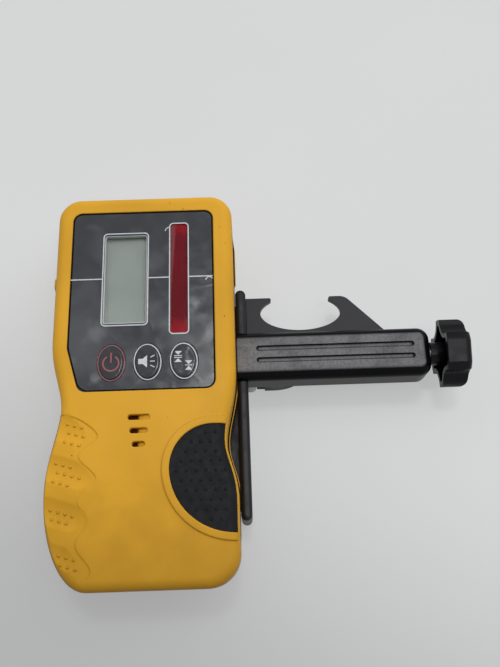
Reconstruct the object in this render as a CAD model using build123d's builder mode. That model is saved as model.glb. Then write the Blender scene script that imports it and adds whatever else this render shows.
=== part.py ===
from build123d import *

import os
from math import atan, cos, radians, sin, sqrt, tan

# Hand-held laser receiver screwed to a levelling-staff clamp, lying on its back.
# Millimetres. X runs along the clamp beam, Y up the receiver's face, Z out of the face.
# The origin is under the middle of the whole thing, on the surface that it lies on.

# Fits shared by the pieces
run_fit = 0.05
slide_fit = 0.15
gap = 0.3
touch_fit = 0.08

# Receiver housing
body_w = 76.0
handle_len = 76.2
front_depth = 14.6
seal_t = 0.8
seal_inset = 0.5
wall = 2.2
face_round = 4.5
back_round = 3.5
top_corner_r = 10.0
foot_r = 13.0
heel_w = 17.5
heel_from_panel = 40.2
left_waist_in = 5.0
left_waist_up = 23.3
left_waist_from_panel = 4.4
right_waist_in = 4.1
right_waist_up = 10.3
right_waist_from_panel = 23.5
right_bulge_from_panel = 43.7
slope_deg = 3.5
slope_blend = 4.0
slope_from_panel = 33.4
mark_len = 10.0
mark_w = 6.0
mark_proud = 0.5

# Front panel and what sits in it
panel_top_gap = 8.1
panel_left_gap = 7.0
panel_right_gap = 8.1
panel_sink = 0.8
panel_t = 0.5
panel_r = 4.0
panel_cut_x = 5.3
panel_cut_y = 18.6
panel_cut_r = 2.0
face_wall = 1.8
sensor_top_gap = 6.5
sensor_len = 49.9
sensor_w = 7.1
sensor_x = 15.6
sensor_lip = 1.4
key_gap = 4.4
key_h = 15.9
key_w = 11.7
key_pitch = 14.8
key_row_x = 2.75
key_low_gap = 4.0
key_brim = 0.85
key_dome = 0.8
key_round = 0.75
key_lip = 1.0
key_flange_t = 0.9
key_travel = 0.5
key_nub_r = 2.5
lcd_w = 18.2
lcd_h = 40.6
lcd_x = -7.2
lcd_frame = 3.4
lcd_t = 3.0
lens_t = 1.2
lens_lip = 1.6
window_r = 1.0

# Board and the parts on it
board_t = 1.6
board_side = 1.0
board_skirt = 4.7
board_tail_w = 22.0
board_tail_len = 19.0
board_tail_x = -2.75
post_r = 2.0
post_inset = 4.5
diode_w = 4.0
diode_t = 2.0
diode_end = 2.0
switch_size = 6.0
switch_t = 0.9
switch_nub_r = 1.7
switch_nub_t = 0.5
buzzer_r = 6.5
buzzer_t = 3.4
buzzer_hole_r = 1.5
buzzer_hole_deep = 1.7

# Sounder slots
slot_from_panel = 10.9
slot_pitch = 5.4
slot_w = 2.2
slot_lengths = (8.9, 7.2, 5.2)
slot_x = -1.0
slot_ramp_len = 5.3
slot_ramp_from = 0.8
slot_ramp_sink = 0.4

# Finger grooves, sunk in a bevel down the left side of the handle
groove_pitch = 16.6
groove_from_panel = 16.1
groove_r = 15.5
groove_deep = 0.9
groove_skew = 17.0
groove_lead = 14.0
groove_round = 3.0
bevel_in = 12.6
bevel_deg = 9.5
bevel_fall = 1.7
wave_step = 0.3
wave_from_panel = 18.0
wave_crests_in = (20.9, 20.7, 17.6, 19.3)
wave_trough_in = 13.6
wave_trough_down = 7.2
wave_brow_in = 18.2
wave_brow_up = 3.6
wave_start_in = 6.6
wave_start_up = 9.1
wave_end_in = 13.5
wave_end_down = 5.8
wave_edge_inset = 0.2

# Thumb grip
grip_t = 1.6
grip_top_from_panel = 14.5
grip_reach = 26.8
grip_crown_r = 16.9
grip_sole_w = 25.8
grip_sole_h = 24.8
grip_side = 3.4
grip_edge = 0.9
bead_w = 3.0
bead_proud = 0.6

# Batteries
cell_d = 14.5
cell_len = 50.5
cell_nub_r = 2.7
cell_nub_len = 1.4
cell_gap = 0.7
cell_play = 0.5
contact_t = 0.5
contact_w = 11.0
bay_wall = 2.0
bay_end_gap = 5.3
board_cell_gap = 2.5
door_t = 1.9
door_lap = 1.9
door_rail = 0.8
door_rail_t = 0.6
door_rail_len = 40.0
door_ridge_count = 5
door_ridge_pitch = 2.4
door_ridge_w = 1.0
door_ridge_len = 18.0
door_ridge_deep = 0.5
door_ridge_from_top = 6.0

# Case screws
screw_r = 1.25
screw_head_r = 2.6
screw_head_t = 1.7
screw_sink = 0.3
screw_reach = 8.0
boss_r = 3.3
case_screw_inset = 7.5
heel_screw_x = 25.0
heel_screw_up = 12.0

# Clamp: beam, side fence, reading plate and base
jaw_drop = 14.0
plate_t = 3.0
plate_reach = 20.15
plate_top_len = 45.6
plate_slope_deg = 45.5
plate_corner_r = 6.0
window_half_w = 18.35
window_half_h = 8.6
window_from_fence = 24.95
window_below_grade = 7.4
horn_r = 0.9
beam_len = 84.4
beam_w = 21.6
beam_h = 16.0
beam_round = 4.8
beam_end_round = 5.4
beam_foot_round = 1.4
beam_wall = 2.4
beam_nose = 7.7
beam_end_wall = 4.0
beam_groove_len = 68.4
beam_groove_w = 2.3
beam_groove_pitch = 5.3
beam_groove_deep = 0.9
beam_groove_from_nose = 8.6
fence_t = 4.7
fence_len = 101.0
fence_h = 26.5
fence_above_grade = 1.0
fence_round = 2.0
base_w = 8.0
tongue_w = 22.0
tongue_boss_r = 13.0
tongue_corner_r = 6.0
rib_t = 2.0
rib_h = 3.0
bumper_r = 4.5
bumper_t = 3.6
bumper_pitch = 12.4
bumper_round = 1.8
bumper_z = 7.0

# Clamp: moving jaw and its screw
pad_t = 3.7
pad_round = 1.0
pad_edge = 0.5
pad_inset = 0.5
jaw_rest_gap = 0.4
jaw_len = 14.4
jaw_w = 17.4
jaw_toe = 4.0
jaw_foot = 0.4
jaw_neck_w = 11.2
jaw_travel = 50.0
lead_screw_r = 3.5
pilot_r = 2.5
pilot_len = 4.0
nut_r = 5.0
nut_inset = 1.0
clip_r = 5.0
clip_t = 1.0
clip_mouth = 4.4
knob_r = 14.9
knob_len = 10.8
knob_lean = 12.0
knob_flat = 14.1
knob_scoop_r = 7.0
knob_scoop_at = 17.7
knob_scoop_deg = 34.0
knob_front_round = 3.2
knob_wall = 1.8
knob_front_t = 3.0
neck_r = 5.1
neck_len = 5.1

# Clamp: thumb screw that holds the receiver
mount_r = 3.175
insert_r = 5.0
insert_len = 8.0
insert_sink = 0.3
mount_boss_r = 8.0
mount_from_bay = 17.8
washer_r = 6.5
washer_t = 0.8
thumb_r = 9.0
thumb_h = 8.0
thumb_collar_r = 6.0
thumb_flutes = 12
thumb_flute_r = 1.3
thumb_round = 0.4

# Heights, from the surface up
z_seat = jaw_drop
z_back = z_seat + plate_t
body_t = (
    panel_sink + face_wall + lens_t + lcd_t + board_t
    + board_cell_gap + cell_d + cell_play + door_t + slide_fit
)
z_face = z_back + body_t
z_front = z_face - front_depth
z_rear = z_front - seal_t
z_panel = z_face - panel_sink
z_panel_top = z_panel + panel_t
z_wall = z_panel - face_wall
z_lens = z_wall - lens_t
z_board = z_lens - lcd_t
z_board_low = z_board - board_t
z_cell = z_board_low - board_cell_gap - cell_d / 2
z_bay = z_back + door_t + slide_fit
z_beam_top = z_seat + beam_h
z_axis = z_seat + beam_h / 2

# Places on the face, from the receiver's own middle
panel_h = sensor_top_gap + sensor_len + key_gap + key_h + key_low_gap
body_h = panel_top_gap + panel_h + handle_len
half_w = body_w / 2
top_y = body_h / 2
bottom_y = -top_y
panel_top_y = top_y - panel_top_gap
panel_low_y = panel_top_y - panel_h
panel_left = -half_w + panel_left_gap
panel_right = half_w - panel_right_gap
panel_mid = (panel_left + panel_right) / 2
grade_y = panel_top_y - sensor_top_gap - sensor_len / 2
key_y = panel_low_y + key_low_gap + key_h / 2
key_places = [(panel_mid + key_row_x + i * key_pitch, key_y) for i in (-1, 0, 1)]
lcd_mid = panel_mid + lcd_x
sensor_mid = panel_mid + sensor_x
left_waist_y = panel_low_y - left_waist_from_panel
right_waist_y = panel_low_y - right_waist_from_panel
heel_y = panel_low_y - heel_from_panel
buzzer_y = panel_low_y - slot_from_panel - slot_pitch
board_left = panel_left + board_side
board_right = panel_right - board_side
board_top = top_y - case_screw_inset - boss_r - gap
board_low = panel_low_y - board_skirt
board_mid = ((board_left + board_right) / 2, (board_top + board_low) / 2)
tail_low = board_low - board_tail_len
posts_at = [
    (x, y)
    for x in (board_left + post_inset, board_right - post_inset)
    for y in (board_low + post_inset, board_top - post_inset)
]
bay_low = bottom_y + bay_end_gap
bay_len = cell_len + cell_nub_len + 2 * contact_t + 3 * touch_fit
bay_high = bay_low + bay_len
bay_half = cell_d + cell_gap / 2 + gap
bay_mid = (bay_low + bay_high) / 2
cell_x = (cell_d + cell_gap) / 2
door_half = bay_half + door_lap
door_high = bay_high + door_lap
mount_y = bay_high + mount_from_bay
case_screws_at = [
    (-half_w + case_screw_inset, top_y - case_screw_inset),
    (half_w - case_screw_inset, top_y - case_screw_inset),
    (-heel_screw_x, bottom_y + heel_screw_up),
    (heel_screw_x, bottom_y + heel_screw_up),
]

# Places along the clamp, from the receiver's own middle
fence_x = half_w + gap
jaw_face_x = fence_x + fence_t
beam_end_x = fence_x + beam_len
knob_x = beam_end_x + neck_len
knob_end_x = knob_x + knob_len
beam_y = grade_y - plate_reach - beam_w / 2
fence_y = grade_y + fence_above_grade - fence_len / 2
pad_x = jaw_face_x + bumper_t + jaw_rest_gap
jaw_x = pad_x + pad_t
cavity_x = fence_x + beam_nose
cavity_end = beam_end_x - beam_end_wall
cavity_half = beam_w / 2 - beam_wall
clip_x = cavity_end - gap - clip_t

# The receiver's middle, set so that the whole thing is centred on the origin
rec_x = (half_w + mark_proud - knob_end_x) / 2


def at(z):
    """Level plane at height z, centred under the receiver."""
    return Plane((rec_x, 0, z))


def along(x):
    """Upright plane across the clamp at x, with its normal along the beam."""
    return Plane((rec_x + x, beam_y, z_axis), x_dir=(0, 1, 0), z_dir=(1, 0, 0))


def housing_outline(inset=0.0):
    """The receiver's outline about its own middle, drawn in from its edge by inset."""
    edge = half_w - inset
    high = top_y - inset
    low = bottom_y + inset
    with BuildSketch() as outline:
        with BuildLine():
            top = Line((-half_w + top_corner_r, high), (half_w - top_corner_r, high))
            shoulder = TangentArc(top @ 1, (edge, top_y - top_corner_r), tangent=(1, 0))
            side = Line(shoulder @ 1, (edge, panel_low_y + right_waist_up))
            waist = Spline(
                side @ 1,
                (edge - right_waist_in, right_waist_y),
                (edge, panel_low_y - right_bulge_from_panel),
                tangents=((0, -1), (0, -1)),
            )
            hip = Line(waist @ 1, (edge, bottom_y + foot_r))
            foot = TangentArc(hip @ 1, (half_w - foot_r, low), tangent=(0, -1))
            Line(foot @ 1, (-half_w + heel_w, low))
            EllipticalCenterArc((-half_w + heel_w, heel_y), heel_w - inset, heel_y - low, 180, arc_size=90)
            left = Spline(
                (-edge, heel_y),
                (-edge + left_waist_in, left_waist_y),
                (-edge, panel_low_y + left_waist_up),
                tangents=((0, 1), (0, 1)),
            )
            flank = Line(left @ 1, (-edge, top_y - top_corner_r))
            TangentArc(flank @ 1, top @ 0, tangent=(0, 1))
        make_face()
    return outline.sketch


def housing_face(z, inset=0.0):
    """The receiver's outline at height z, drawn in from its edge by inset."""
    with BuildSketch(at(z)) as face:
        add(housing_outline(inset))
    return face.sketch


def panel_face(z, inset=0.0):
    """Outline of the front panel at height z, with its corner cut beside the waist."""
    with BuildSketch(at(z)) as outline:
        with BuildLine():
            Polyline(
                (panel_left, panel_top_y),
                (panel_right, panel_top_y),
                (panel_right, panel_low_y),
                (panel_left + panel_cut_x, panel_low_y),
                (panel_left, panel_low_y + panel_cut_y),
                close=True,
            )
        make_face()
        knee = outline.vertices().group_by(Axis.X)[0].sort_by(Axis.Y)[0]
        fillet(outline.vertices() - [knee], panel_r)
        fillet(outline.vertices().sort_by_distance(knee)[0], panel_cut_r)
        if inset:
            offset(amount=-inset)
    return outline.sketch


def front_form(inset=0.0):
    """Outside of the front housing, solid, drawn in on every side by inset."""
    z_top = z_face - inset
    slope_y = panel_low_y - slope_from_panel
    with BuildPart() as form:
        extrude(housing_face(z_front, inset), amount=front_depth - inset)
        with BuildSketch(Plane.YZ.offset(rec_x)):
            with BuildLine():
                flat = Line((slope_y, z_face + wall), (slope_y, z_top))
                bend = JernArc(flat @ 1, (-1, 0), slope_blend / radians(slope_deg), slope_deg)
                run = bottom_y - wall - (bend @ 1).X
                fall = (bend @ 1) + Vector(run, run * tan(radians(slope_deg)))
                low = Line(bend @ 1, fall)
                Polyline(low @ 1, (bottom_y - wall, z_face + wall), flat @ 0)
            make_face()
        extrude(amount=body_w, both=True, mode=Mode.SUBTRACT)
        upper = form.edges().filter_by_position(Axis.Z, z_front + wall, z_top)
        bends = upper.filter_by(Axis.X).filter_by_position(Axis.Y, bottom_y + foot_r, top_y - top_corner_r)
        fillet(upper.filter_by(Axis.Z, reverse=True) - bends, face_round - inset)
    return form.part


def rear_form():
    """Outside of the rear housing, solid."""
    with BuildPart() as form:
        extrude(housing_face(z_back), amount=z_rear - z_back)
        fillet(form.edges().group_by(Axis.Z)[0], back_round)
    return form.part


def grip_face(z, grow=0.0):
    """Outline of the thumb grip at height z, widened by grow."""
    hub_y = panel_low_y - grip_top_from_panel - grip_crown_r
    tip_x = half_w - grip_reach
    edge_x = half_w + wall
    with BuildSketch(at(z)) as outline:
        with BuildLine():
            crown = EllipticalCenterArc(
                (tip_x + grip_crown_r, hub_y), grip_crown_r + grow, grip_crown_r + grow, 90, arc_size=90
            )
            sole = EllipticalCenterArc(
                (tip_x + grip_sole_w, hub_y), grip_sole_w + grow, grip_sole_h + grow, 180, arc_size=90
            )
            Polyline(sole @ 1, (edge_x, (sole @ 1).Y), (edge_x, (crown @ 0).Y), crown @ 0)
        make_face()
        add(housing_outline(grip_edge - min(grow, touch_fit)), mode=Mode.INTERSECT)
    return outline.sketch


def beam_form(grow=0.0):
    """Outside of the clamp beam, solid, widened on every side by grow."""
    with BuildPart() as form:
        with BuildSketch(at(z_seat - grow)) as plan:
            with Locations(((fence_x + beam_end_x) / 2, beam_y)):
                Rectangle(beam_len + 2 * grow, beam_w + 2 * grow)
            fillet(plan.vertices().group_by(Axis.X)[-1], beam_end_round + grow)
        extrude(amount=beam_h + 2 * grow)
        fillet(form.edges().group_by(Axis.Z)[-1].sort_by(Axis.X)[1:], beam_round + grow)
        fillet(form.edges().group_by(Axis.Z)[0].sort_by(Axis.X)[1:], beam_foot_round)
    return form.part


def key_cap(label, place):
    """One oval key: a raised cap in a flat brim, a lip that keeps it in, and a nub over its switch."""
    z_lip = z_wall - gap
    z_nub = z_board + switch_t + switch_nub_t + key_travel + gap
    with BuildPart() as key:
        with BuildSketch(at(z_lip)):
            with Locations(place):
                Ellipse(key_w / 2 - key_brim, key_h / 2 - key_brim)
        extrude(amount=z_panel_top + key_dome - z_lip)
        fillet(key.edges().group_by(Axis.Z)[-1], key_round)
        with BuildSketch(at(z_lip)):
            with Locations(place):
                Ellipse(key_w / 2, key_h / 2)
        extrude(amount=z_panel_top - z_lip)
        with BuildSketch(at(z_lip - key_flange_t)):
            with Locations(place):
                Ellipse(key_w / 2 + key_lip, key_h / 2 + key_lip)
        extrude(amount=key_flange_t)
        with BuildSketch(at(z_nub)):
            with Locations(place):
                Circle(key_nub_r)
        extrude(amount=z_lip - z_nub)
    key.part.label = label
    return key.part


pieces = []
front_outer = front_form()
rear_outer = rear_form()
beam_outer = beam_form()
z_grip_low = z_face - grip_side
grip_rise = grip_side + wall

# Thumb grip, a rubber skin that follows the housing's rounded edge
with BuildPart() as thumb_grip:
    add(front_outer)
    extrude(grip_face(z_grip_low), amount=grip_rise, mode=Mode.INTERSECT)
    add(front_form(grip_t), mode=Mode.SUBTRACT)
thumb_grip.part.label = "thumb_grip"
pieces.append(thumb_grip.part)

# The bed that the grip lies in, and the raised bead round it
with BuildPart() as grip_bed:
    extrude(grip_face(z_grip_low - touch_fit, touch_fit), amount=grip_rise)
    add(front_form(grip_t + touch_fit), mode=Mode.SUBTRACT)
with BuildPart() as grip_bead:
    add(front_form(-bead_proud))
    extrude(grip_face(z_grip_low, bead_w), amount=grip_rise, mode=Mode.INTERSECT)
    extrude(housing_face(z_grip_low), amount=grip_rise, mode=Mode.INTERSECT)

# What the fingers' bevel and grooves take away, with the ridges between the grooves rounded
up_slope = Vector(cos(radians(bevel_deg)), 0, sin(radians(bevel_deg)))
up_handle = Vector(0, cos(radians(bevel_fall)), sin(radians(bevel_fall)))
groove_start = Vector(rec_x - half_w + bevel_in, panel_low_y - groove_from_panel, z_face)
bevel = Plane(groove_start, x_dir=up_slope, z_dir=up_slope.cross(up_handle))
outward = bevel.y_dir * sin(radians(groove_skew)) - bevel.x_dir * cos(radians(groove_skew))
groove_run = groove_lead + half_w
lead_x = groove_lead * cos(radians(groove_skew))
lead_y = groove_lead * sin(radians(groove_skew))
far_x = lead_x - groove_run * cos(radians(groove_skew))
far_y = groove_run * sin(radians(groove_skew)) - lead_y
groove_count = len(wave_crests_in)
last_y = -(groove_count - 1) * groove_pitch
with BuildPart() as finger_cut:
    with BuildSketch(bevel):
        with BuildLine():
            Polyline(
                (lead_x, -lead_y),
                (far_x, far_y),
                (far_x, last_y + far_y),
                (lead_x, last_y - lead_y),
                close=True,
            )
        make_face()
    extrude(amount=groove_r)
    for index in range(groove_count):
        foot = groove_start - bevel.y_dir * (index * groove_pitch) - outward * groove_lead
        with BuildSketch(Plane(foot + bevel.z_dir * (groove_r - groove_deep), z_dir=outward)):
            Circle(groove_r)
        extrude(amount=groove_run)
    ridges = [
        edge
        for edge in finger_cut.edges()
        if abs((edge.center() - groove_start).dot(bevel.z_dir)) < touch_fit
        and abs(edge.tangent_at(0.5).dot(outward)) > cos(radians(bevel_fall))
    ]
    fillet(ridges, groove_round)

# The shallow step with a wavy edge that the bevel and grooves lie in
crest_y = panel_low_y - wave_from_panel
wave = [
    (-half_w - wall, crest_y + wave_start_up),
    (-half_w + wave_start_in, crest_y + wave_start_up),
    (-half_w + wave_brow_in, crest_y + wave_brow_up),
]
for index, crest_in in enumerate(wave_crests_in):
    wave_y = crest_y - index * groove_pitch
    wave.append((-half_w + crest_in, wave_y))
    wave.append((-half_w + wave_trough_in, wave_y - wave_trough_down))
wave[-1] = (-half_w + wave_end_in, wave_y - wave_end_down)
with BuildPart() as finger_step:
    with BuildSketch(at(z_front + face_round)):
        with BuildLine():
            edge = Spline(*wave)
            Polyline(edge @ 1, (-half_w - wall, bottom_y), edge @ 0)
        make_face()
        add(housing_outline(wave_edge_inset), mode=Mode.INTERSECT)
    extrude(amount=front_depth)
    add(front_outer.moved(Location((0, 0, -wave_step))), mode=Mode.SUBTRACT)

# Sounder slots, open at one end and ramped up to the face at the other
ramp_x = slot_x - slot_ramp_from
ramp_top = z_face - slot_ramp_sink
slots_low = panel_low_y - slot_from_panel - len(slot_lengths) * slot_pitch
with BuildPart() as sound_slots:
    with BuildSketch(at(z_wall)):
        for row, length in enumerate(slot_lengths):
            with Locations((slot_x, panel_low_y - slot_from_panel - row * slot_pitch)):
                SlotOverall(length, slot_w)
    extrude(amount=z_face - z_wall + wall)
    with BuildSketch(Plane((rec_x, slots_low, 0), x_dir=(1, 0, 0), z_dir=(0, -1, 0))):
        with BuildLine():
            Polyline(
                (ramp_x, z_wall),
                (ramp_x + slot_ramp_len, z_wall),
                (ramp_x + slot_ramp_len, ramp_top),
                close=True,
            )
        make_face()
    extrude(amount=slots_low - panel_low_y, mode=Mode.SUBTRACT)

# Front half of the housing, with its finger grooves, panel bed, key holes and sounder slots
with BuildPart() as front_shell:
    add(front_outer)
    add(grip_bead.part)
    add(grip_bed.part, mode=Mode.SUBTRACT)
    add(finger_cut.part, mode=Mode.SUBTRACT)
    add(finger_step.part, mode=Mode.SUBTRACT)
    with BuildSketch(at(z_front)):
        add(housing_outline(wall))
        with Locations((0, (board_low - gap + top_y) / 2)):
            Rectangle(body_w, top_y - board_low + gap, mode=Mode.INTERSECT)
        with Locations((board_tail_x, (tail_low + board_low) / 2)):
            Rectangle(board_tail_w + 2 * gap, board_tail_len + 2 * gap)
    extrude(amount=z_wall - z_front, mode=Mode.SUBTRACT)
    with BuildSketch(at(z_front)):
        with Locations((0, bay_mid)):
            Rectangle(2 * bay_half, bay_len)
    extrude(amount=z_cell + cell_d / 2 + gap - z_front, mode=Mode.SUBTRACT)
    with BuildSketch(at(z_front)):
        with Locations(*case_screws_at[:2]):
            Circle(boss_r)
    extrude(amount=z_wall - z_front)
    with BuildSketch(at(z_board)):
        with Locations(*posts_at):
            Circle(post_r)
    extrude(amount=z_wall - z_board)
    with BuildSketch(at(z_front)):
        with Locations(*case_screws_at):
            Circle(screw_r + touch_fit)
    extrude(amount=screw_reach + gap, mode=Mode.SUBTRACT)
    extrude(panel_face(z_panel), amount=panel_sink + wall, mode=Mode.SUBTRACT)
    with BuildSketch(at(z_wall - lens_t)):
        with Locations((lcd_mid, grade_y)):
            RectangleRounded(lcd_w, lcd_h, window_r)
        with Locations((sensor_mid, grade_y)):
            RectangleRounded(sensor_w + 2 * touch_fit, sensor_len + 2 * touch_fit, window_r)
        with Locations(*key_places):
            Ellipse(key_w / 2 + slide_fit, key_h / 2 + slide_fit)
    extrude(amount=z_face - z_wall + lens_t + wall, mode=Mode.SUBTRACT)
    add(sound_slots.part, mode=Mode.SUBTRACT)
    with BuildSketch(Plane((rec_x - half_w - mark_proud, grade_y, z_front + mark_w), z_dir=(1, 0, 0))):
        RectangleRounded(mark_len, mark_w, mark_w / 2 - mark_proud)
    extrude(amount=mark_proud + wall / 2)
front_shell.part.label = "front_shell"
pieces.append(front_shell.part)

# Rear half of the housing, with the battery bay, the door's bed and the mounting boss
door_bed_top = door_high + slide_fit
rail_z = z_back + door_t / 2
rail_high = bay_mid + door_rail_len / 2
with BuildPart() as rear_shell:
    add(rear_outer)
    extrude(housing_face(z_back + wall, wall), amount=z_rear - z_back - wall, mode=Mode.SUBTRACT)
    with BuildSketch(at(z_back + wall)):
        with Locations((0, bay_mid)):
            Rectangle(2 * (bay_half + bay_wall + door_lap), bay_len + 2 * bay_wall + 2 * door_lap)
    extrude(amount=door_t)
    with BuildSketch(at(z_back + wall)):
        with Locations((0, bay_mid)):
            Rectangle(2 * (bay_half + bay_wall), bay_len + 2 * bay_wall)
        with Locations(*case_screws_at):
            Circle(boss_r)
    extrude(amount=z_rear - z_back - wall)
    extrude(housing_face(z_back), amount=z_rear - z_back, mode=Mode.INTERSECT)
    with BuildSketch(at(z_back + wall)):
        with Locations((0, mount_y)):
            Circle(mount_boss_r)
    extrude(amount=insert_len)
    with BuildSketch(at(z_back)):
        with Locations((0, mount_y)):
            Circle(insert_r + touch_fit)
    extrude(amount=insert_sink + insert_len + touch_fit, mode=Mode.SUBTRACT)
    with BuildSketch(at(z_back)):
        with Locations((0, bay_mid)):
            Rectangle(2 * bay_half, bay_len)
    extrude(amount=z_rear - z_back, mode=Mode.SUBTRACT)
    with BuildSketch(at(z_back)):
        with Locations((0, (door_bed_top + bottom_y - wall) / 2)):
            Rectangle(2 * (door_half + slide_fit), door_bed_top - bottom_y + wall)
    extrude(amount=z_bay - z_back, mode=Mode.SUBTRACT)
    with BuildSketch(at(rail_z - door_rail_t / 2 - slide_fit)):
        with Locations((0, (rail_high + slide_fit + bottom_y - wall) / 2)):
            Rectangle(
                2 * (door_half + door_rail + slide_fit),
                rail_high + slide_fit - bottom_y + wall,
            )
    extrude(amount=door_rail_t + 2 * slide_fit, mode=Mode.SUBTRACT)
    with BuildSketch(at(z_back)):
        with Locations(*case_screws_at):
            Circle(screw_head_r + touch_fit)
    extrude(amount=screw_sink + screw_head_t + touch_fit, mode=Mode.SUBTRACT)
    with BuildSketch(at(z_back)):
        with Locations(*case_screws_at):
            Circle(screw_r + touch_fit)
    extrude(amount=z_rear - z_back, mode=Mode.SUBTRACT)
rear_shell.part.label = "rear_shell"
pieces.append(rear_shell.part)

# Rubber seal in the joint between the two halves
with BuildPart() as housing_seal:
    extrude(housing_face(z_rear, seal_inset), amount=seal_t)
    extrude(housing_face(z_rear, wall), amount=seal_t, mode=Mode.SUBTRACT)
housing_seal.part.label = "housing_seal"
pieces.append(housing_seal.part)

# Printed film over the front panel
with BuildPart() as panel_overlay:
    extrude(panel_face(z_panel, touch_fit), amount=panel_t)
    with BuildSketch(at(z_panel)):
        with Locations((lcd_mid, grade_y)):
            RectangleRounded(lcd_w, lcd_h, window_r)
        with Locations((sensor_mid, grade_y)):
            RectangleRounded(sensor_w + 2 * touch_fit, sensor_len + 2 * touch_fit, window_r)
        with Locations(*key_places):
            Ellipse(key_w / 2 + slide_fit, key_h / 2 + slide_fit)
    extrude(amount=panel_t, mode=Mode.SUBTRACT)
panel_overlay.part.label = "panel_overlay"
pieces.append(panel_overlay.part)

# Clear lens under the display opening, and the display behind it
with BuildPart() as display_lens:
    with BuildSketch(at(z_lens)):
        with Locations((lcd_mid, grade_y)):
            RectangleRounded(lcd_w + 2 * lens_lip, lcd_h + 2 * lens_lip, window_r)
    extrude(amount=lens_t)
display_lens.part.label = "display_lens"
pieces.append(display_lens.part)

with BuildPart() as lcd_module:
    with BuildSketch(at(z_board)):
        with Locations((lcd_mid, grade_y)):
            Rectangle(lcd_w + 2 * lcd_frame, lcd_h + 2 * lcd_frame)
    extrude(amount=lcd_t)
    fillet(lcd_module.edges().filter_by(Axis.Z), window_r)
lcd_module.part.label = "lcd_module"
pieces.append(lcd_module.part)

# Red window over the light sensor, with a lip under the wall
with BuildPart() as sensor_window:
    with BuildSketch(at(z_wall)):
        with Locations((sensor_mid, grade_y)):
            RectangleRounded(sensor_w, sensor_len, window_r)
    extrude(amount=z_panel - z_wall)
    with BuildSketch(at(z_wall - sensor_lip)):
        with Locations((sensor_mid, grade_y)):
            RectangleRounded(sensor_w + 2 * sensor_lip, sensor_len + 2 * sensor_lip, window_r)
    extrude(amount=sensor_lip)
sensor_window.part.label = "sensor_window"
pieces.append(sensor_window.part)

# Circuit board with the tail that carries the sounder, and the parts on it
with BuildPart() as main_board:
    with BuildSketch(at(z_board_low)):
        with Locations(board_mid):
            Rectangle(board_right - board_left, board_top - board_low)
        with Locations((board_tail_x, (board_low + tail_low) / 2)):
            Rectangle(board_tail_w, board_tail_len)
    extrude(amount=board_t)
main_board.part.label = "main_board"
pieces.append(main_board.part)

with BuildPart() as photodiode_strip:
    with BuildSketch(at(z_board)):
        with Locations((sensor_mid, grade_y)):
            Rectangle(diode_w, sensor_len - 2 * diode_end)
    extrude(amount=diode_t)
photodiode_strip.part.label = "photodiode_strip"
pieces.append(photodiode_strip.part)

with BuildPart() as tact_switches:
    with BuildSketch(at(z_board)):
        with Locations(*key_places):
            Rectangle(switch_size, switch_size)
    extrude(amount=switch_t)
    with BuildSketch(at(z_board)):
        with Locations(*key_places):
            Circle(switch_nub_r)
    extrude(amount=switch_t + switch_nub_t)
tact_switches.part.label = "tact_switches"
pieces.append(tact_switches.part)

with BuildPart() as buzzer:
    with BuildSketch(at(z_board)):
        with Locations((slot_x, buzzer_y)):
            Circle(buzzer_r)
    extrude(amount=buzzer_t)
    with BuildSketch(at(z_board + buzzer_t)):
        with Locations((slot_x, buzzer_y)):
            Circle(buzzer_hole_r)
    extrude(amount=-buzzer_hole_deep, mode=Mode.SUBTRACT)
buzzer.part.label = "buzzer"
pieces.append(buzzer.part)

# The three keys
for label, place in zip(("power_button", "sound_button", "precision_button"), key_places):
    pieces.append(key_cap(label, place))

# Two cells side by side, one turned end for end, and the contacts at their ends
cell_low = bay_low + contact_t + touch_fit
with BuildPart() as battery_cells:
    for side, low, nub_low in ((-1, cell_low, cell_low), (1, cell_low + cell_nub_len, cell_low)):
        with BuildSketch(Plane((rec_x + side * cell_x, low, z_cell), z_dir=(0, 1, 0))):
            Circle(cell_d / 2)
        extrude(amount=cell_len)
        with BuildSketch(Plane((rec_x + side * cell_x, nub_low, z_cell), z_dir=(0, 1, 0))):
            Circle(cell_nub_r)
        extrude(amount=cell_len + cell_nub_len)
battery_cells.part.label = "battery_cells"
pieces.append(battery_cells.part)

with BuildPart() as battery_contacts:
    with BuildSketch(Plane((rec_x, bay_low, z_cell), x_dir=(1, 0, 0), z_dir=(0, 1, 0))):
        Rectangle(2 * cell_x + contact_w, contact_w)
    extrude(amount=contact_t)
    with BuildSketch(Plane((rec_x, bay_high - contact_t, z_cell), x_dir=(1, 0, 0), z_dir=(0, 1, 0))):
        with Locations((-cell_x, 0), (cell_x, 0)):
            Rectangle(contact_w, contact_w)
    extrude(amount=contact_t)
battery_contacts.part.label = "battery_contacts"
pieces.append(battery_contacts.part)

# Battery door, which slides out past the foot of the housing
with BuildPart() as battery_door:
    add(rear_outer)
    with BuildSketch(at(z_back)):
        with Locations((0, (door_high + bottom_y) / 2)):
            Rectangle(2 * door_half, door_high - bottom_y)
    extrude(amount=door_t, mode=Mode.INTERSECT)
    with BuildSketch(at(rail_z - door_rail_t / 2)):
        with Locations((0, bay_mid)):
            Rectangle(2 * (door_half + door_rail), door_rail_len)
    extrude(amount=door_rail_t)
    with BuildSketch(at(z_back)):
        for index in range(door_ridge_count):
            with Locations((0, door_high - door_ridge_from_top - index * door_ridge_pitch)):
                SlotOverall(door_ridge_len, door_ridge_w)
    extrude(amount=door_ridge_deep, mode=Mode.SUBTRACT)
battery_door.part.label = "battery_door"
pieces.append(battery_door.part)

# Screws that close the housing
with BuildPart() as case_screws:
    with BuildSketch(at(z_back + screw_sink)):
        with Locations(*case_screws_at):
            Circle(screw_head_r)
    extrude(amount=screw_head_t)
    with BuildSketch(at(z_back + screw_sink)):
        with Locations(*case_screws_at):
            Circle(screw_r)
    extrude(amount=z_front + screw_reach - z_back - screw_sink)
case_screws.part.label = "case_screws"
pieces.append(case_screws.part)

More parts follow.
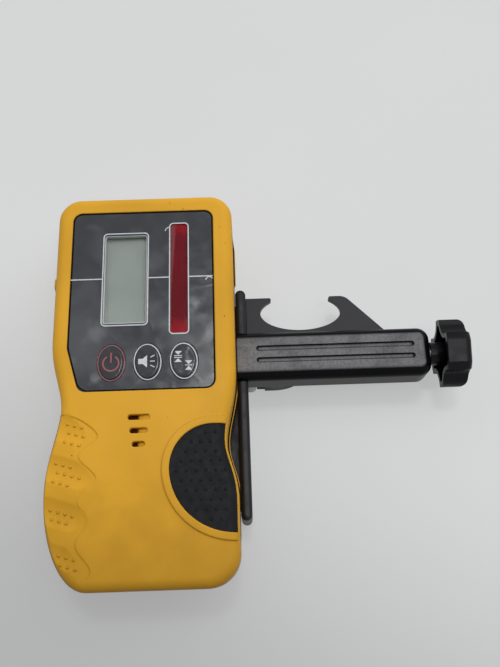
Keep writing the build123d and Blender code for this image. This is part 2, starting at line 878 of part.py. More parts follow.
# Threaded insert that takes the thumb screw
with BuildPart() as clamp_insert:
    with BuildSketch(at(z_back + insert_sink)):
        with Locations((0, mount_y)):
            Circle(insert_r)
            Circle(mount_r + run_fit, mode=Mode.SUBTRACT)
    extrude(amount=insert_len)
clamp_insert.part.label = "clamp_insert"
pieces.append(clamp_insert.part)

# Hollow clamp beam: a slot in its floor for the jaw, bores for the screw, grip lines on top
slot_low = jaw_x - gap
slot_high = jaw_x + jaw_len + jaw_travel + gap
beam_hollow_h = beam_h - 2 * beam_wall
with BuildPart() as clamp_beam:
    add(beam_outer)
    with BuildSketch(along(cavity_x)):
        Rectangle(2 * cavity_half, beam_hollow_h)
    extrude(amount=cavity_end - cavity_x, mode=Mode.SUBTRACT)
    with BuildSketch(at(z_seat)):
        with Locations(((slot_low + slot_high) / 2, beam_y)):
            Rectangle(slot_high - slot_low, jaw_neck_w + 2 * gap)
    extrude(amount=beam_wall, mode=Mode.SUBTRACT)
    with BuildSketch(along(cavity_x - pilot_len - gap)):
        Circle(pilot_r + run_fit)
    extrude(amount=pilot_len + gap, mode=Mode.SUBTRACT)
    with BuildSketch(along(cavity_end)):
        Circle(lead_screw_r + run_fit)
    extrude(amount=beam_end_wall, mode=Mode.SUBTRACT)
    with BuildSketch(at(z_beam_top)):
        for side in (-1, 1):
            middle = fence_x + beam_groove_from_nose + beam_groove_len / 2
            with Locations((middle, beam_y + side * beam_groove_pitch / 2)):
                SlotOverall(beam_groove_len, beam_groove_w)
    extrude(amount=-beam_groove_deep, mode=Mode.SUBTRACT)
clamp_beam.part.label = "clamp_beam"
pieces.append(clamp_beam.part)

# Side fence with the fixed jaw face, a ledge under the receiver and a tongue to the thumb screw
with BuildPart() as side_bracket:
    with BuildSketch(at(0)):
        with Locations((fence_x + fence_t / 2, fence_y)):
            SlotOverall(fence_len, fence_t, rotation=90)
    extrude(amount=fence_h)
    fillet(side_bracket.edges().group_by(Axis.Z)[-1], fence_round)
    with BuildSketch(at(z_seat)) as base:
        with Locations((fence_x - base_w / 2 + fence_t / 4, fence_y)):
            Rectangle(base_w + fence_t / 2, fence_len - 2 * fence_t)
        with Locations((fence_x / 2, mount_y)):
            Rectangle(fence_x, tongue_w)
        with Locations((0, mount_y)):
            Circle(tongue_boss_r)
        inner = base.vertices().filter_by_position(Axis.X, fence_x - base_w - gap, fence_x - base_w + gap)
        fillet(inner.sort_by_distance((fence_x, mount_y))[:2], tongue_corner_r)
    extrude(amount=plate_t)
    with BuildSketch(at(z_seat)):
        for side in (-1, 1):
            with Locations((fence_x / 2, mount_y + side * (tongue_w - rib_t) / 2)):
                Rectangle(fence_x, rib_t)
    extrude(amount=-rib_h)
    with BuildSketch(at(z_seat)):
        with Locations((0, mount_y)):
            Circle(mount_r + gap)
    extrude(amount=plate_t, mode=Mode.SUBTRACT)
    add(beam_form(touch_fit), mode=Mode.SUBTRACT)
side_bracket.part.label = "side_bracket"
pieces.append(side_bracket.part)

# Plate beside the beam with the window for reading the staff; its top edge marks the grade
plate_foot = beam_y + beam_w / 2
plate_end = jaw_face_x + plate_top_len + plate_reach / tan(radians(plate_slope_deg))
mouth_half = window_half_w * sqrt(1 - (window_below_grade / window_half_h) ** 2)
horn_angle = atan(window_half_h**2 * mouth_half / (window_half_w**2 * window_below_grade))
corner_run = plate_corner_r * tan(radians(plate_slope_deg) / 2)
horn_land = min(window_from_fence, plate_top_len - corner_run - window_from_fence) - mouth_half
horn_tip_r = min(horn_r, horn_land * tan(horn_angle / 2))
with BuildPart() as reading_plate:
    with BuildSketch(at(z_seat)) as outline:
        with BuildLine():
            Polyline(
                (jaw_face_x, plate_foot),
                (plate_end, plate_foot),
                (jaw_face_x + plate_top_len, grade_y),
                (jaw_face_x, grade_y),
                close=True,
            )
        make_face()
        fillet(outline.vertices().group_by(Axis.Y)[-1].sort_by(Axis.X)[-1], plate_corner_r)
        with Locations((jaw_face_x + window_from_fence, grade_y - window_below_grade)):
            Ellipse(window_half_w, window_half_h, mode=Mode.SUBTRACT)
        fillet(outline.vertices().group_by(Axis.Y)[-1].sort_by(Axis.X)[1:3], horn_tip_r)
    extrude(amount=plate_t)
reading_plate.part.label = "reading_plate"
pieces.append(reading_plate.part)

# Two clear bumpers on the fixed jaw face
with BuildPart() as fixed_jaw_bumpers:
    with BuildSketch(Plane((rec_x + jaw_face_x, beam_y, bumper_z), x_dir=(0, 1, 0), z_dir=(1, 0, 0))):
        with Locations((-bumper_pitch / 2, 0), (bumper_pitch / 2, 0)):
            Circle(bumper_r)
    extrude(amount=bumper_t)
    fillet(fixed_jaw_bumpers.edges().group_by(Axis.X)[-1], bumper_round)
fixed_jaw_bumpers.part.label = "fixed_jaw_bumpers"
pieces.append(fixed_jaw_bumpers.part)

# Moving jaw: a curved foot under the beam on a carriage that runs inside it
jaw_top = z_seat - gap
with BuildPart() as moving_jaw:
    with BuildSketch(Plane((rec_x, beam_y + jaw_w / 2, 0), x_dir=(1, 0, 0), z_dir=(0, -1, 0))):
        with BuildLine():
            face = Polyline((jaw_x + jaw_len, jaw_top), (jaw_x, jaw_top), (jaw_x, jaw_foot))
            Line(face @ 1, (jaw_x + jaw_toe, jaw_foot))
            EllipticalCenterArc(
                (jaw_x + jaw_toe, jaw_top), jaw_len - jaw_toe, jaw_top - jaw_foot, 270, arc_size=90
            )
        make_face()
    extrude(amount=jaw_w)
    with BuildSketch(along(jaw_x)):
        Rectangle(2 * (cavity_half - gap), beam_hollow_h - 2 * gap)
        with Locations((0, z_seat + beam_wall / 2 - z_axis)):
            Rectangle(jaw_neck_w, beam_wall + 2 * gap)
        RegularPolygon(nut_r + touch_fit, 6, mode=Mode.SUBTRACT)
    extrude(amount=jaw_len)
moving_jaw.part.label = "moving_jaw"
pieces.append(moving_jaw.part)

with BuildPart() as jaw_nut:
    with BuildSketch(along(jaw_x + nut_inset)):
        RegularPolygon(nut_r, 6)
        Circle(lead_screw_r + run_fit, mode=Mode.SUBTRACT)
    extrude(amount=jaw_len - 2 * nut_inset)
jaw_nut.part.label = "jaw_nut"
pieces.append(jaw_nut.part)

with BuildPart() as moving_jaw_pad:
    pad_low = jaw_foot + pad_inset
    pad_high = jaw_top - pad_inset
    with BuildSketch(along(pad_x)):
        with Locations((0, (pad_low + pad_high) / 2 - z_axis)):
            RectangleRounded(jaw_w - 2 * pad_inset, pad_high - pad_low, pad_round)
    extrude(amount=pad_t)
    fillet(moving_jaw_pad.edges().group_by(Axis.X)[0], pad_edge)
moving_jaw_pad.part.label = "moving_jaw_pad"
pieces.append(moving_jaw_pad.part)

# Lead screw with its clip and the knob that turns it
with BuildPart() as lead_screw:
    with BuildSketch(along(cavity_x - pilot_len)):
        Circle(pilot_r)
    extrude(amount=pilot_len + gap)
    with BuildSketch(along(cavity_x + gap)):
        Circle(lead_screw_r)
    extrude(amount=knob_end_x - knob_front_t - cavity_x - gap)
lead_screw.part.label = "lead_screw"
pieces.append(lead_screw.part)

with BuildPart() as retaining_clip:
    with BuildSketch(along(clip_x)):
        Circle(clip_r)
        Circle(lead_screw_r + run_fit, mode=Mode.SUBTRACT)
        with Locations((0, clip_r)):
            Rectangle(clip_mouth, 2 * clip_r, mode=Mode.SUBTRACT)
    extrude(amount=clip_t)
retaining_clip.part.label = "retaining_clip"
pieces.append(retaining_clip.part)

scoop_turns = [side + knob_lean + turn for side in (0, 180) for turn in (-knob_scoop_deg, knob_scoop_deg)]
scoops_at = [Vector(knob_scoop_at, 0).rotate(Axis.Z, turn) for turn in scoop_turns]
with BuildPart() as clamp_knob:
    with BuildSketch(along(knob_x)):
        Circle(knob_r)
        Rectangle(2 * knob_r, 2 * knob_flat, rotation=knob_lean, mode=Mode.INTERSECT)
    extrude(amount=knob_len)
    fillet(clamp_knob.edges().group_by(Axis.X)[-1], knob_front_round)
    with BuildSketch(along(knob_x)):
        with Locations(*scoops_at):
            Circle(knob_scoop_r)
    extrude(amount=knob_len, mode=Mode.SUBTRACT)
    with BuildSketch(along(knob_x)):
        Circle(knob_flat - knob_wall)
        with Locations(*scoops_at):
            Circle(knob_scoop_r + knob_wall, mode=Mode.SUBTRACT)
    extrude(amount=knob_len - knob_front_t, mode=Mode.SUBTRACT)
    with BuildSketch(along(beam_end_x + gap)):
        Circle(neck_r)
    extrude(amount=knob_end_x - knob_front_t - beam_end_x - gap)
    with BuildSketch(along(beam_end_x + gap)):
        Circle(lead_screw_r + run_fit)
    extrude(amount=knob_end_x - knob_front_t - beam_end_x - gap, mode=Mode.SUBTRACT)
clamp_knob.part.label = "clamp_knob"
pieces.append(clamp_knob.part)

# Thumb screw under the tongue, and its washer
z_collar = z_seat - washer_t - gap
with BuildPart() as mount_screw:
    with BuildSketch(at(0)):
        with Locations((0, mount_y)):
            Circle(thumb_r)
            with PolarLocations(thumb_r, thumb_flutes):
                Circle(thumb_flute_r, mode=Mode.SUBTRACT)
    extrude(amount=thumb_h)
    fillet(mount_screw.edges().group_by(Axis.Z)[-1], thumb_round)
    with BuildSketch(at(thumb_h)):
        with Locations((0, mount_y)):
            Circle(thumb_collar_r)
    extrude(amount=z_collar - thumb_h)
    with BuildSketch(at(z_collar)):
        with Locations((0, mount_y)):
            Circle(mount_r)
    extrude(amount=z_back + insert_sink + insert_len - gap - z_collar)
mount_screw.part.label = "mount_screw"
pieces.append(mount_screw.part)

with BuildPart() as mount_washer:
    with BuildSketch(at(z_seat - washer_t)):
        with Locations((0, mount_y)):
            Circle(washer_r)
            Circle(mount_r + gap, mode=Mode.SUBTRACT)
    extrude(amount=washer_t)
mount_washer.part.label = "mount_washer"
pieces.append(mount_washer.part)

os.makedirs("parts", exist_ok=True)
for piece in pieces:
    export_step(piece, f"parts/{piece.label}.step")
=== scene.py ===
"""Dresses a hand-held laser receiver on its staff clamp.

Every CAD node gets its finish. Raised dots, printed marks, screw heads and a thread are added,
and then the table, the light and the camera.
"""

import logging
import math
from dataclasses import dataclass
from enum import Enum
from functools import reduce
from typing import Any, Iterable, Mapping, Optional, Sequence

import bmesh
import bpy
from bmesh.types import BMEdge, BMFace, BMVert, BMesh
from mathutils import Matrix, Vector
from mathutils.bvhtree import BVHTree


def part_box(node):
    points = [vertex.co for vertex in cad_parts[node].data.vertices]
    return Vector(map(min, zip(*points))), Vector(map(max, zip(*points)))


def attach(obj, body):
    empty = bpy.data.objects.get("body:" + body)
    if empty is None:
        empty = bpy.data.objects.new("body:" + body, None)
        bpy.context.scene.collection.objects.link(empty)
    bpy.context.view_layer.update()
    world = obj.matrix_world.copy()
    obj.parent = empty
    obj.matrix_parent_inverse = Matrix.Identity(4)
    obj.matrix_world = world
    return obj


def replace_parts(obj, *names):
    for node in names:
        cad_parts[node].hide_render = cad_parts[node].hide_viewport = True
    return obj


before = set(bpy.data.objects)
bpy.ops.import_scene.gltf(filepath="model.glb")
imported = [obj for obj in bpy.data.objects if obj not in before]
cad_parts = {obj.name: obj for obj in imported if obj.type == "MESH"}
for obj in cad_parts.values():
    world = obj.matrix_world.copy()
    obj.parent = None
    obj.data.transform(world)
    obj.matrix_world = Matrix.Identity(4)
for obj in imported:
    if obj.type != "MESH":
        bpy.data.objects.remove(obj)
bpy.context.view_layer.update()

log = logging.getLogger("receiver")

MM = 0.001
ROOT = "receiver_and_clamp"
UP = Vector((0, 0, 1))
Colour = tuple[float, float, float]
Socket = bpy.types.NodeSocket
Spot = tuple[Vector, Vector]

# A band is where a value is eased from its first result to its second.
Band = tuple[float, float]
# Over most of the range of cloudy noise, or over its middle.
WIDE = (0.3, 0.7)
NARROW = (0.35, 0.65)

# Edges sharper than this stay sharp.
CREASE = math.radians(35)


# ---------------------------------------------------------------- finishes


class Nodes:
    """A node tree under way, with short ways to add and join nodes."""

    def __init__(self, tree: bpy.types.NodeTree) -> None:
        """Take up a tree that has its output."""
        self.tree = tree

    def add(self, kind: str, inputs: Optional[Mapping] = None, **settings: Any) -> bpy.types.Node:
        """Add a node.

        Args:
            kind: Node type, without its prefix.
            inputs: Values or sockets for the node's inputs, by name or number.
            **settings: Properties of the node.

        Returns:
            The new node.
        """
        node = self.tree.nodes.new(f"ShaderNode{kind}")
        for name, value in settings.items():
            setattr(node, name, value)
        for name, value in (inputs or {}).items():
            self.feed(node.inputs[name], value)
        return node

    def feed(self, socket: Socket, value: Any) -> None:
        """Join a socket to an input, or set the input to a constant.

        Args:
            socket: The input.
            value: A socket, a number, a colour or a vector.
        """
        if isinstance(value, bpy.types.NodeSocket):
            self.tree.links.new(value, socket)
        elif socket.type == "RGBA" and len(value) == 3:
            socket.default_value = (*value, 1.0)
        else:
            socket.default_value = value

    def sums(self, operation: str, first: Any, second: Any = 0.0) -> Socket:
        """Work out one step of arithmetic on two values."""
        return self.add("Math", {0: first, 1: second}, operation=operation).outputs[0]

    def product(self, *values: Any) -> Socket:
        """Multiply values with each other."""
        return reduce(lambda done, value: self.sums("MULTIPLY", done, value), values)

    def shift(self, operation: str, first: Any, second: Any) -> Socket:
        """Work out one step of arithmetic on two vectors."""
        return self.add("VectorMath", {0: first, 1: second}, operation=operation).outputs[0]

    def dot(self, first: Any, second: Any) -> Socket:
        """The dot product of two vectors."""
        inputs = {0: first, 1: second}
        return self.add("VectorMath", inputs, operation="DOT_PRODUCT").outputs["Value"]

    def part(self, vector: Socket, axis: int) -> Socket:
        """One part of a vector: 0 for X, 1 for Y and 2 for Z."""
        return self.add("SeparateXYZ", {0: vector}).outputs[axis]

    def seen(self) -> Socket:
        """Tell the rays that see a surface from those that it only lights.

        Returns:
            1 for a ray from the camera, off gloss or through glass, and 0 for the rest.
        """
        rays = self.add("LightPath").outputs
        share = rays["Is Camera Ray"]
        for other in ("Is Glossy Ray", "Is Transmission Ray"):
            share = self.sums("MAXIMUM", share, rays[other])
        return share


class Paint(Nodes):
    """A material under way: its shader, and the patterns that feed it. Sizes are in millimetres."""

    # How well the softened normal agrees with the plain one where an edge starts and is full.
    edge_band = (0.985, 0.86)
    edge_samples = 6
    # How open a surface is where an inside corner starts.
    corner_start = 0.85
    corner_samples = 8
    # Part of a speck's radius that is dark all over.
    speck_core = 0.6

    def __init__(self, name: str) -> None:
        """Start a material with only its shader.

        Args:
            name: Name of the material.
        """
        self.material = bpy.data.materials.new(name)
        self.material.use_nodes = True
        super().__init__(self.material.node_tree)
        self.shader = self.tree.nodes["Principled BSDF"]
        self.place = self.add("TexCoord").outputs

    def coat(self, **inputs: Any) -> None:
        """Set the shader's inputs, with underscores for the spaces in their names."""
        for name, value in inputs.items():
            self.feed(self.shader.inputs[name.replace("_", " ")], value)

    def patches(self, size: float, detail: float = 2.0, finer: Sequence = (1, 1, 1)) -> Socket:
        """Cloudy noise.

        Args:
            size: Width of a patch.
            detail: How many finer layers it has.
            finer: How much finer it is along each axis; less than 1 draws it out.

        Returns:
            Its value, about 0.3 to 0.7.
        """
        where = self.add("Mapping", {"Vector": self.place["Object"], "Scale": finer}).outputs[0]
        inputs = {"Vector": where, "Scale": 1 / (size * MM), "Detail": detail}
        return self.add("TexNoise", inputs).outputs[0]

    def span(
        self, value: Socket, low: float, high: float, bottom: float = 0.0, top: float = 1.0
    ) -> Socket:
        """Ease a value from one range into another.

        Args:
            value: What is mapped.
            low: Where the result is bottom.
            high: Where the result is top.
            bottom: Result at low and beyond.
            top: Result at high and beyond.

        Returns:
            The mapped value.
        """
        inputs = {0: value, 1: low, 2: high, 3: bottom, 4: top}
        return self.add("MapRange", inputs, interpolation_type="SMOOTHSTEP").outputs[0]

    def clouds(self, size: float, band: Band = WIDE) -> Socket:
        """Cloudy noise that goes all the way from 0 to 1."""
        return self.span(self.patches(size), *band)

    def around(self, noise: Socket, centre: float, swing: float, band: Band = WIDE) -> Socket:
        """Let a value wander with noise, by up to a swing either side of its centre."""
        return self.span(noise, *band, centre - swing, centre + swing)

    def mixed(self, share: Socket, first: Any, second: Any) -> Socket:
        """Blend two colours by the share of the second that shows."""
        return self.add("Mix", {0: share, 6: first, 7: second}, data_type="RGBA").outputs[2]

    def specks(self, cell: float, across: float, share: float) -> Socket:
        """Small scattered spots.

        Args:
            cell: Spacing of the places where a spot may be.
            across: Width of a spot.
            share: Part of the places that have one.

        Returns:
            1 on a spot and 0 elsewhere.
        """
        ragged = self.shift("ADD", self.place["Object"], self.warp(across))
        cells = self.add("TexVoronoi", {"Vector": ragged, "Scale": 1 / (cell * MM)}).outputs
        radius = across / cell / 2
        spot = self.span(cells["Distance"], radius, radius * self.speck_core)
        pick = self.add("SeparateColor", {0: cells["Color"]}).outputs[0]
        return self.product(spot, self.sums("LESS_THAN", pick, share))

    def warp(self, reach: float) -> Socket:
        """Small random shifts.

        Args:
            reach: Twice the furthest shift, and the width of the noise behind it.

        Returns:
            The shifts, in metres.
        """
        inputs = {"Vector": self.place["Object"], "Scale": 1 / (reach * MM)}
        noise = self.add("TexNoise", inputs).outputs["Color"]
        centred = self.shift("SUBTRACT", noise, (0.5, 0.5, 0.5))
        return self.shift("MULTIPLY", centred, [reach * MM] * 3)

    def rounded(self, radius: float) -> tuple[Socket, Socket]:
        """Soften the sharp edges in the shading.

        Args:
            radius: Radius of the rounding.

        Returns:
            The softened normal, and a mask that is 1 on the edges.
        """
        soft = self.add("Bevel", {"Radius": radius * MM}, samples=self.edge_samples).outputs[0]
        plain = self.add("NewGeometry").outputs["Normal"]
        return soft, self.span(self.dot(soft, plain), *self.edge_band)

    def corners(self, reach: float, packed: float) -> Socket:
        """Find the inside corners, where shade is painted.

        Args:
            reach: How near the other wall is.
            packed: How open a corner may be and still count in full.

        Returns:
            1 deep in a corner and 0 on open surfaces.
        """
        inputs = {"Distance": reach * MM}
        nearby = self.add("AmbientOcclusion", inputs, samples=self.corner_samples)
        return self.span(nearby.outputs["AO"], self.corner_start, packed)

    def raised(self, height: Socket, rise: float, normal: Optional[Socket] = None) -> Socket:
        """Bump the surface.

        Args:
            height: What stands up.
            rise: How high it stands.
            normal: The normal that it starts from.

        Returns:
            The bumped normal.
        """
        inputs = {"Height": height, "Distance": rise * MM, "Strength": 1.0}
        if normal is not None:
            inputs["Normal"] = normal
        return self.add("Bump", inputs).outputs[0]


@dataclass(frozen=True)
class Finish:
    """What a surface is made of. Colours are linear, and sizes are in millimetres."""

    name: str
    colour: Colour
    roughness: float

    def material(self) -> bpy.types.Material:
        """Mix the material, the first time that it is asked for.

        Returns:
            The material.
        """
        made = bpy.data.materials.get(self.name)
        if made:
            return made
        paint = Paint(self.name)
        self.mix(paint)
        return paint.material

    def mix(self, paint: Paint) -> None:
        """Fill the material's nodes, which each finish does its own way."""
        raise NotImplementedError

    def toned(self, share: float) -> Colour:
        """The colour, lighter or darker by a share of itself."""
        return tuple(part * share for part in self.colour)


@dataclass(frozen=True)
class MouldedPlastic(Finish):
    """Moulded plastic with a fine grain, faint clouding, dark specks, rubbed edges and painted
    shade in its inside corners.
    """

    worn: Colour
    corner_shade: Colour
    shine: float = 0.4
    cloud: float = 40.0
    cloud_tones: tuple[float, float] = (0.94, 1.05)
    grain: float = 0.32
    grain_rise: float = 0.012
    edge: float = 0.5
    rub: float = 4.0
    rub_band: Band = (0.4, 0.65)
    wear: float = 0.35
    crevice: float = 0.8
    packed: float = 0.3
    gloss_patch: float = 6.0
    gloss_swing: float = 0.06
    speck_share: float = 0.0
    speck_cell: float = 6.0
    speck_size: float = 0.7
    speck: Colour = (0.12, 0.05, 0.01)

    def mix(self, paint: Paint) -> None:
        """Fill the material's nodes.

        Args:
            paint: The material under way.
        """
        dark, light = (self.toned(share) for share in self.cloud_tones)
        tone = paint.mixed(paint.clouds(self.cloud, NARROW), dark, light)
        soft, edge = paint.rounded(self.edge)
        rubbed = paint.span(paint.patches(self.rub), *self.rub_band, top=self.wear)
        tone = paint.mixed(paint.product(edge, rubbed), tone, self.worn)
        if self.speck_share:
            specks = paint.specks(self.speck_cell, self.speck_size, self.speck_share)
            tone = paint.mixed(specks, tone, self.speck)
        tone, gloss = self.wear_and_painted_light(paint, tone)
        # Painted shade: inside corners are darkened towards the corner shade colour.
        paint.coat(
            Base_Color=paint.mixed(paint.corners(self.crevice, self.packed), tone, self.corner_shade),
            Roughness=gloss,
            Specular_IOR_Level=self.shine,
            Normal=paint.raised(paint.patches(self.grain, detail=3), self.grain_rise, soft),
        )

    def wear_and_painted_light(self, paint: Paint, tone: Socket) -> tuple[Socket, Socket]:
        """Let handling change the surface; finishes built on this one paint shade or sheen here
        too.

        Args:
            paint: The material under way.
            tone: Its colour so far.

        Returns:
            The colour and the roughness.
        """
        noise = paint.patches(self.gloss_patch)
        return tone, paint.around(noise, self.roughness, self.gloss_swing, NARROW)


@dataclass(frozen=True)
class HeelShadedPlastic(MouldedPlastic):
    """Plastic with painted shade that darkens it along Y towards its lower end, between two places
    in metres.
    """

    shade_from_y: float = -0.03
    shade_full_y: float = -0.085
    heel_shade: float = 0.7
    fray: float = 14.0
    fray_reach: float = 0.006

    def wear_and_painted_light(self, paint: Paint, tone: Socket) -> tuple[Socket, Socket]:
        """Paint shade over the lower end.

        Args:
            paint: The material under way.
            tone: Its colour so far.

        Returns:
            The colour and the roughness.
        """
        frayed = paint.around(paint.patches(self.fray, detail=3), 0.0, self.fray_reach)
        ragged = paint.sums("ADD", paint.part(paint.place["Object"], 1), frayed)
        # Painted shade: darker towards the lower end, with a ragged edge.
        shaded_end = paint.span(ragged, self.shade_from_y, self.shade_full_y)
        return super().wear_and_painted_light(paint, paint.mixed(shaded_end, tone, self.toned(self.heel_shade)))


@dataclass(frozen=True)
class ScuffedPlastic(MouldedPlastic):
    """Black plastic whose upward faces are hazed and scratched by use; the lighter haze is also a
    painted sheen on the faces that point up.
    """

    upward: Band = (0.9, 0.995)
    haze_and_sheen: Colour = (0.125, 0.124, 0.13)
    haze_patch: float = 9.0
    haze_band: Band = (0.3, 0.6)
    haze_least: float = 0.7
    fleck: float = 0.9
    fleck_band: Band = (0.3, 0.65)
    fleck_least: float = 0.72
    haze_dulls: float = 0.16
    scratch: Colour = (0.17, 0.17, 0.176)
    scratch_width: float = 0.5
    scratch_along: tuple[float, float, float] = (0.02, 1.0, 1.0)
    scratch_band: Band = (0.62, 0.75)
    scratch_patch: float = 14.0
    scratch_places: Band = (0.45, 0.7)

    def wear_and_painted_light(self, paint: Paint, tone: Socket) -> tuple[Socket, Socket]:
        """Haze the faces that lie uppermost, painting a sheen on them, and scratch them lengthwise.

        Args:
            paint: The material under way.
            tone: Its colour so far.

        Returns:
            The colour and the roughness.
        """
        flat = paint.span(paint.part(paint.place["Normal"], 2), *self.upward)
        broad = paint.patches(self.haze_patch, detail=4)
        haze_and_sheen = paint.product(
            flat,
            paint.span(broad, *self.haze_band, bottom=self.haze_least),
            paint.span(paint.patches(self.fleck), *self.fleck_band, bottom=self.fleck_least),
        )
        # Painted sheen: faces that point up are lightened towards the haze colour, which also
        # stands for wear.
        tone = paint.mixed(haze_and_sheen, tone, self.haze_and_sheen)
        lines = paint.patches(self.scratch_width, detail=3, finer=self.scratch_along)
        places = paint.span(paint.patches(self.scratch_patch), *self.scratch_places)
        marks = paint.product(paint.span(lines, *self.scratch_band), flat, places)
        tone = paint.mixed(marks, tone, self.scratch)
        return tone, paint.span(haze_and_sheen, 0.0, 1.0, self.roughness, self.roughness + self.haze_dulls)


@dataclass(frozen=True)
class Rubber(Finish):
    """Soft moulded rubber: dull, finely pitted and a little dusty."""

    dust: Colour = (0.05, 0.05, 0.05)
    dust_share: float = 0.12
    dust_patch: float = 5.0
    dust_band: Band = (0.5, 0.75)
    gloss_patch: float = 2.5
    gloss_swing: float = 0.08
    shine: float = 0.15
    pit: float = 0.25
    pit_rise: float = 0.015
    edge: float = 0.3

    def mix(self, paint: Paint) -> None:
        """Fill the material's nodes.

        Args:
            paint: The material under way.
        """
        specks = paint.patches(self.dust_patch, detail=5)
        dust = paint.span(specks, *self.dust_band, top=self.dust_share)
        gloss = paint.patches(self.gloss_patch)
        soft, _ = paint.rounded(self.edge)
        paint.coat(
            Base_Color=paint.mixed(dust, self.colour, self.dust),
            Roughness=paint.around(gloss, self.roughness, self.gloss_swing),
            Specular_IOR_Level=self.shine,
            Normal=paint.raised(paint.patches(self.pit, detail=3), self.pit_rise, soft),
        )


@dataclass(frozen=True)
class PaintedHighlight:
    """A painted highlight on a film: its middle and reach in metres, its share and its tone."""

    x: float
    y: float
    reach: float
    share: float
    tone: Colour
    fray: float = 0.3
    core: float = -0.2

    def spread(self, paint: Paint) -> Socket:
        """Find how much of the painted highlight shows at each place.

        Args:
            paint: The material under way.

        Returns:
            The share, which falls from the middle to a frayed edge.
        """
        away = paint.shift("SUBTRACT", paint.place["Object"], (self.x, self.y, 0))
        level = paint.shift("MULTIPLY", away, (1, 1, 0))
        off = paint.add("VectorMath", {0: level}, operation="LENGTH").outputs["Value"]
        noise = paint.patches(self.reach / MM, detail=1)
        ragged = paint.sums("ADD", off, paint.around(noise, 0.0, self.fray * self.reach))
        return paint.span(ragged, self.reach, self.core * self.reach, top=self.share)


@dataclass(frozen=True)
class PrintedFilm(Finish):
    """Dark printed film that has lifted here and there into soft swells and a few long creases,
    with painted highlights in a few places.
    """

    bloom: Colour
    bloom_band: Band = (0.45, 0.72)
    bloom_share: float = 0.6
    highlights: tuple[PaintedHighlight, ...] = ()
    shine: float = 0.35
    swell: float = 15.0
    swell_rise: float = 0.22
    swell_twist: float = 0.6
    crease: float = 26.0
    crease_line: float = 0.5
    crease_band: Band = (0.03, 0.0)
    crease_patch: float = 17.0
    crease_places: Band = (0.48, 0.62)
    crease_rise: float = 0.025
    crease_share: float = 0.3
    smudge: float = 7.0
    smudge_band: Band = (0.35, 0.7)
    smudge_gloss: tuple[float, float] = (-0.05, 0.09)
    edge: float = 0.25

    def mix(self, paint: Paint) -> None:
        """Fill the material's nodes.

        Args:
            paint: The material under way.
        """
        inputs = {"Vector": paint.place["Object"], "Scale": 1 / (self.swell * MM), "Detail": 1.0}
        swell = paint.add("TexNoise", {**inputs, "Distortion": self.swell_twist}).outputs[0]
        bloom = paint.span(swell, *self.bloom_band, top=self.bloom_share)
        tone = paint.mixed(bloom, self.colour, self.bloom)
        # Painted highlights: lighter places that stand for reflections on the film.
        for spot in self.highlights:
            tone = paint.mixed(spot.spread(paint), tone, spot.tone)
        noise = paint.patches(self.crease, detail=0)
        off_line = paint.sums("ABSOLUTE", paint.sums("SUBTRACT", noise, self.crease_line))
        places = paint.span(paint.patches(self.crease_patch), *self.crease_places)
        crease = paint.product(paint.span(off_line, *self.crease_band), places)
        smudge = paint.patches(self.smudge, detail=4)
        gloss = (self.roughness + swing for swing in self.smudge_gloss)
        swollen = paint.raised(swell, self.swell_rise, paint.rounded(self.edge)[0])
        worn = paint.span(crease, 0.0, 1.0, top=self.crease_share)
        paint.coat(
            Base_Color=paint.mixed(worn, tone, self.bloom),
            Roughness=paint.span(smudge, *self.smudge_band, *gloss),
            Specular_IOR_Level=self.shine,
            Normal=paint.raised(crease, self.crease_rise, swollen),
        )


@dataclass(frozen=True)
class Ink(Finish):
    """Screen-printed ink, a little patchy."""

    shine: float = 0.5
    thin: float = 0.86
    thin_patch: float = 1.2
    thin_band: Band = (0.4, 0.65)
    gloss_patch: float = 3.0
    gloss_swing: float = 0.08

    def mix(self, paint: Paint) -> None:
        """Fill the material's nodes.

        Args:
            paint: The material under way.
        """
        full = paint.span(paint.patches(self.thin_patch, detail=4), *self.thin_band)
        gloss = paint.patches(self.gloss_patch)
        paint.coat(
            Base_Color=paint.mixed(full, self.toned(self.thin), self.colour),
            Roughness=paint.around(gloss, self.roughness, self.gloss_swing),
            Specular_IOR_Level=self.shine,
        )


@dataclass(frozen=True)
class LiquidCrystal(Finish):
    """Unlit liquid-crystal glass over a grey-green reflector with a fine tooth."""

    shade: Colour
    cloud: float = 22.0
    tooth: float = 0.12
    tooth_rise: float = 0.004
    gloss_swing: float = 0.05

    def mix(self, paint: Paint) -> None:
        """Fill the material's nodes.

        Args:
            paint: The material under way.
        """
        tooth = paint.patches(self.tooth, detail=1)
        paint.coat(
            Base_Color=paint.mixed(paint.clouds(self.cloud, NARROW), self.shade, self.colour),
            Roughness=paint.around(tooth, self.roughness, self.gloss_swing),
            Normal=paint.raised(tooth, self.tooth_rise),
        )


@dataclass(frozen=True)
class ClearMoulding(Finish):
    """Clear or tinted moulding that light passes through, with faint smears on its skin."""

    cover: float = 0.2
    smear: float = 0.05
    smear_patch: float = 6.0
    smear_along: tuple[float, float, float] = (0.4, 1.0, 1.0)
    smear_band: Band = (0.4, 0.75)
    shine: float = 0.5
    deep: float = 0.93
    cloud: float = 9.0

    def mix(self, paint: Paint) -> None:
        """Fill the material's nodes.

        Args:
            paint: The material under way.
        """
        smears = paint.patches(self.smear_patch, detail=4, finer=self.smear_along)
        gloss = (self.roughness, self.roughness + self.smear)
        paint.coat(
            Base_Color=self.tint(paint),
            Roughness=paint.span(smears, *self.smear_band, *gloss),
            Specular_IOR_Level=self.shine,
            Alpha=self.cover,
        )

    def tint(self, paint: Paint) -> Socket:
        """The colour, a little deeper in places."""
        return paint.mixed(paint.clouds(self.cloud), self.toned(self.deep), self.colour)


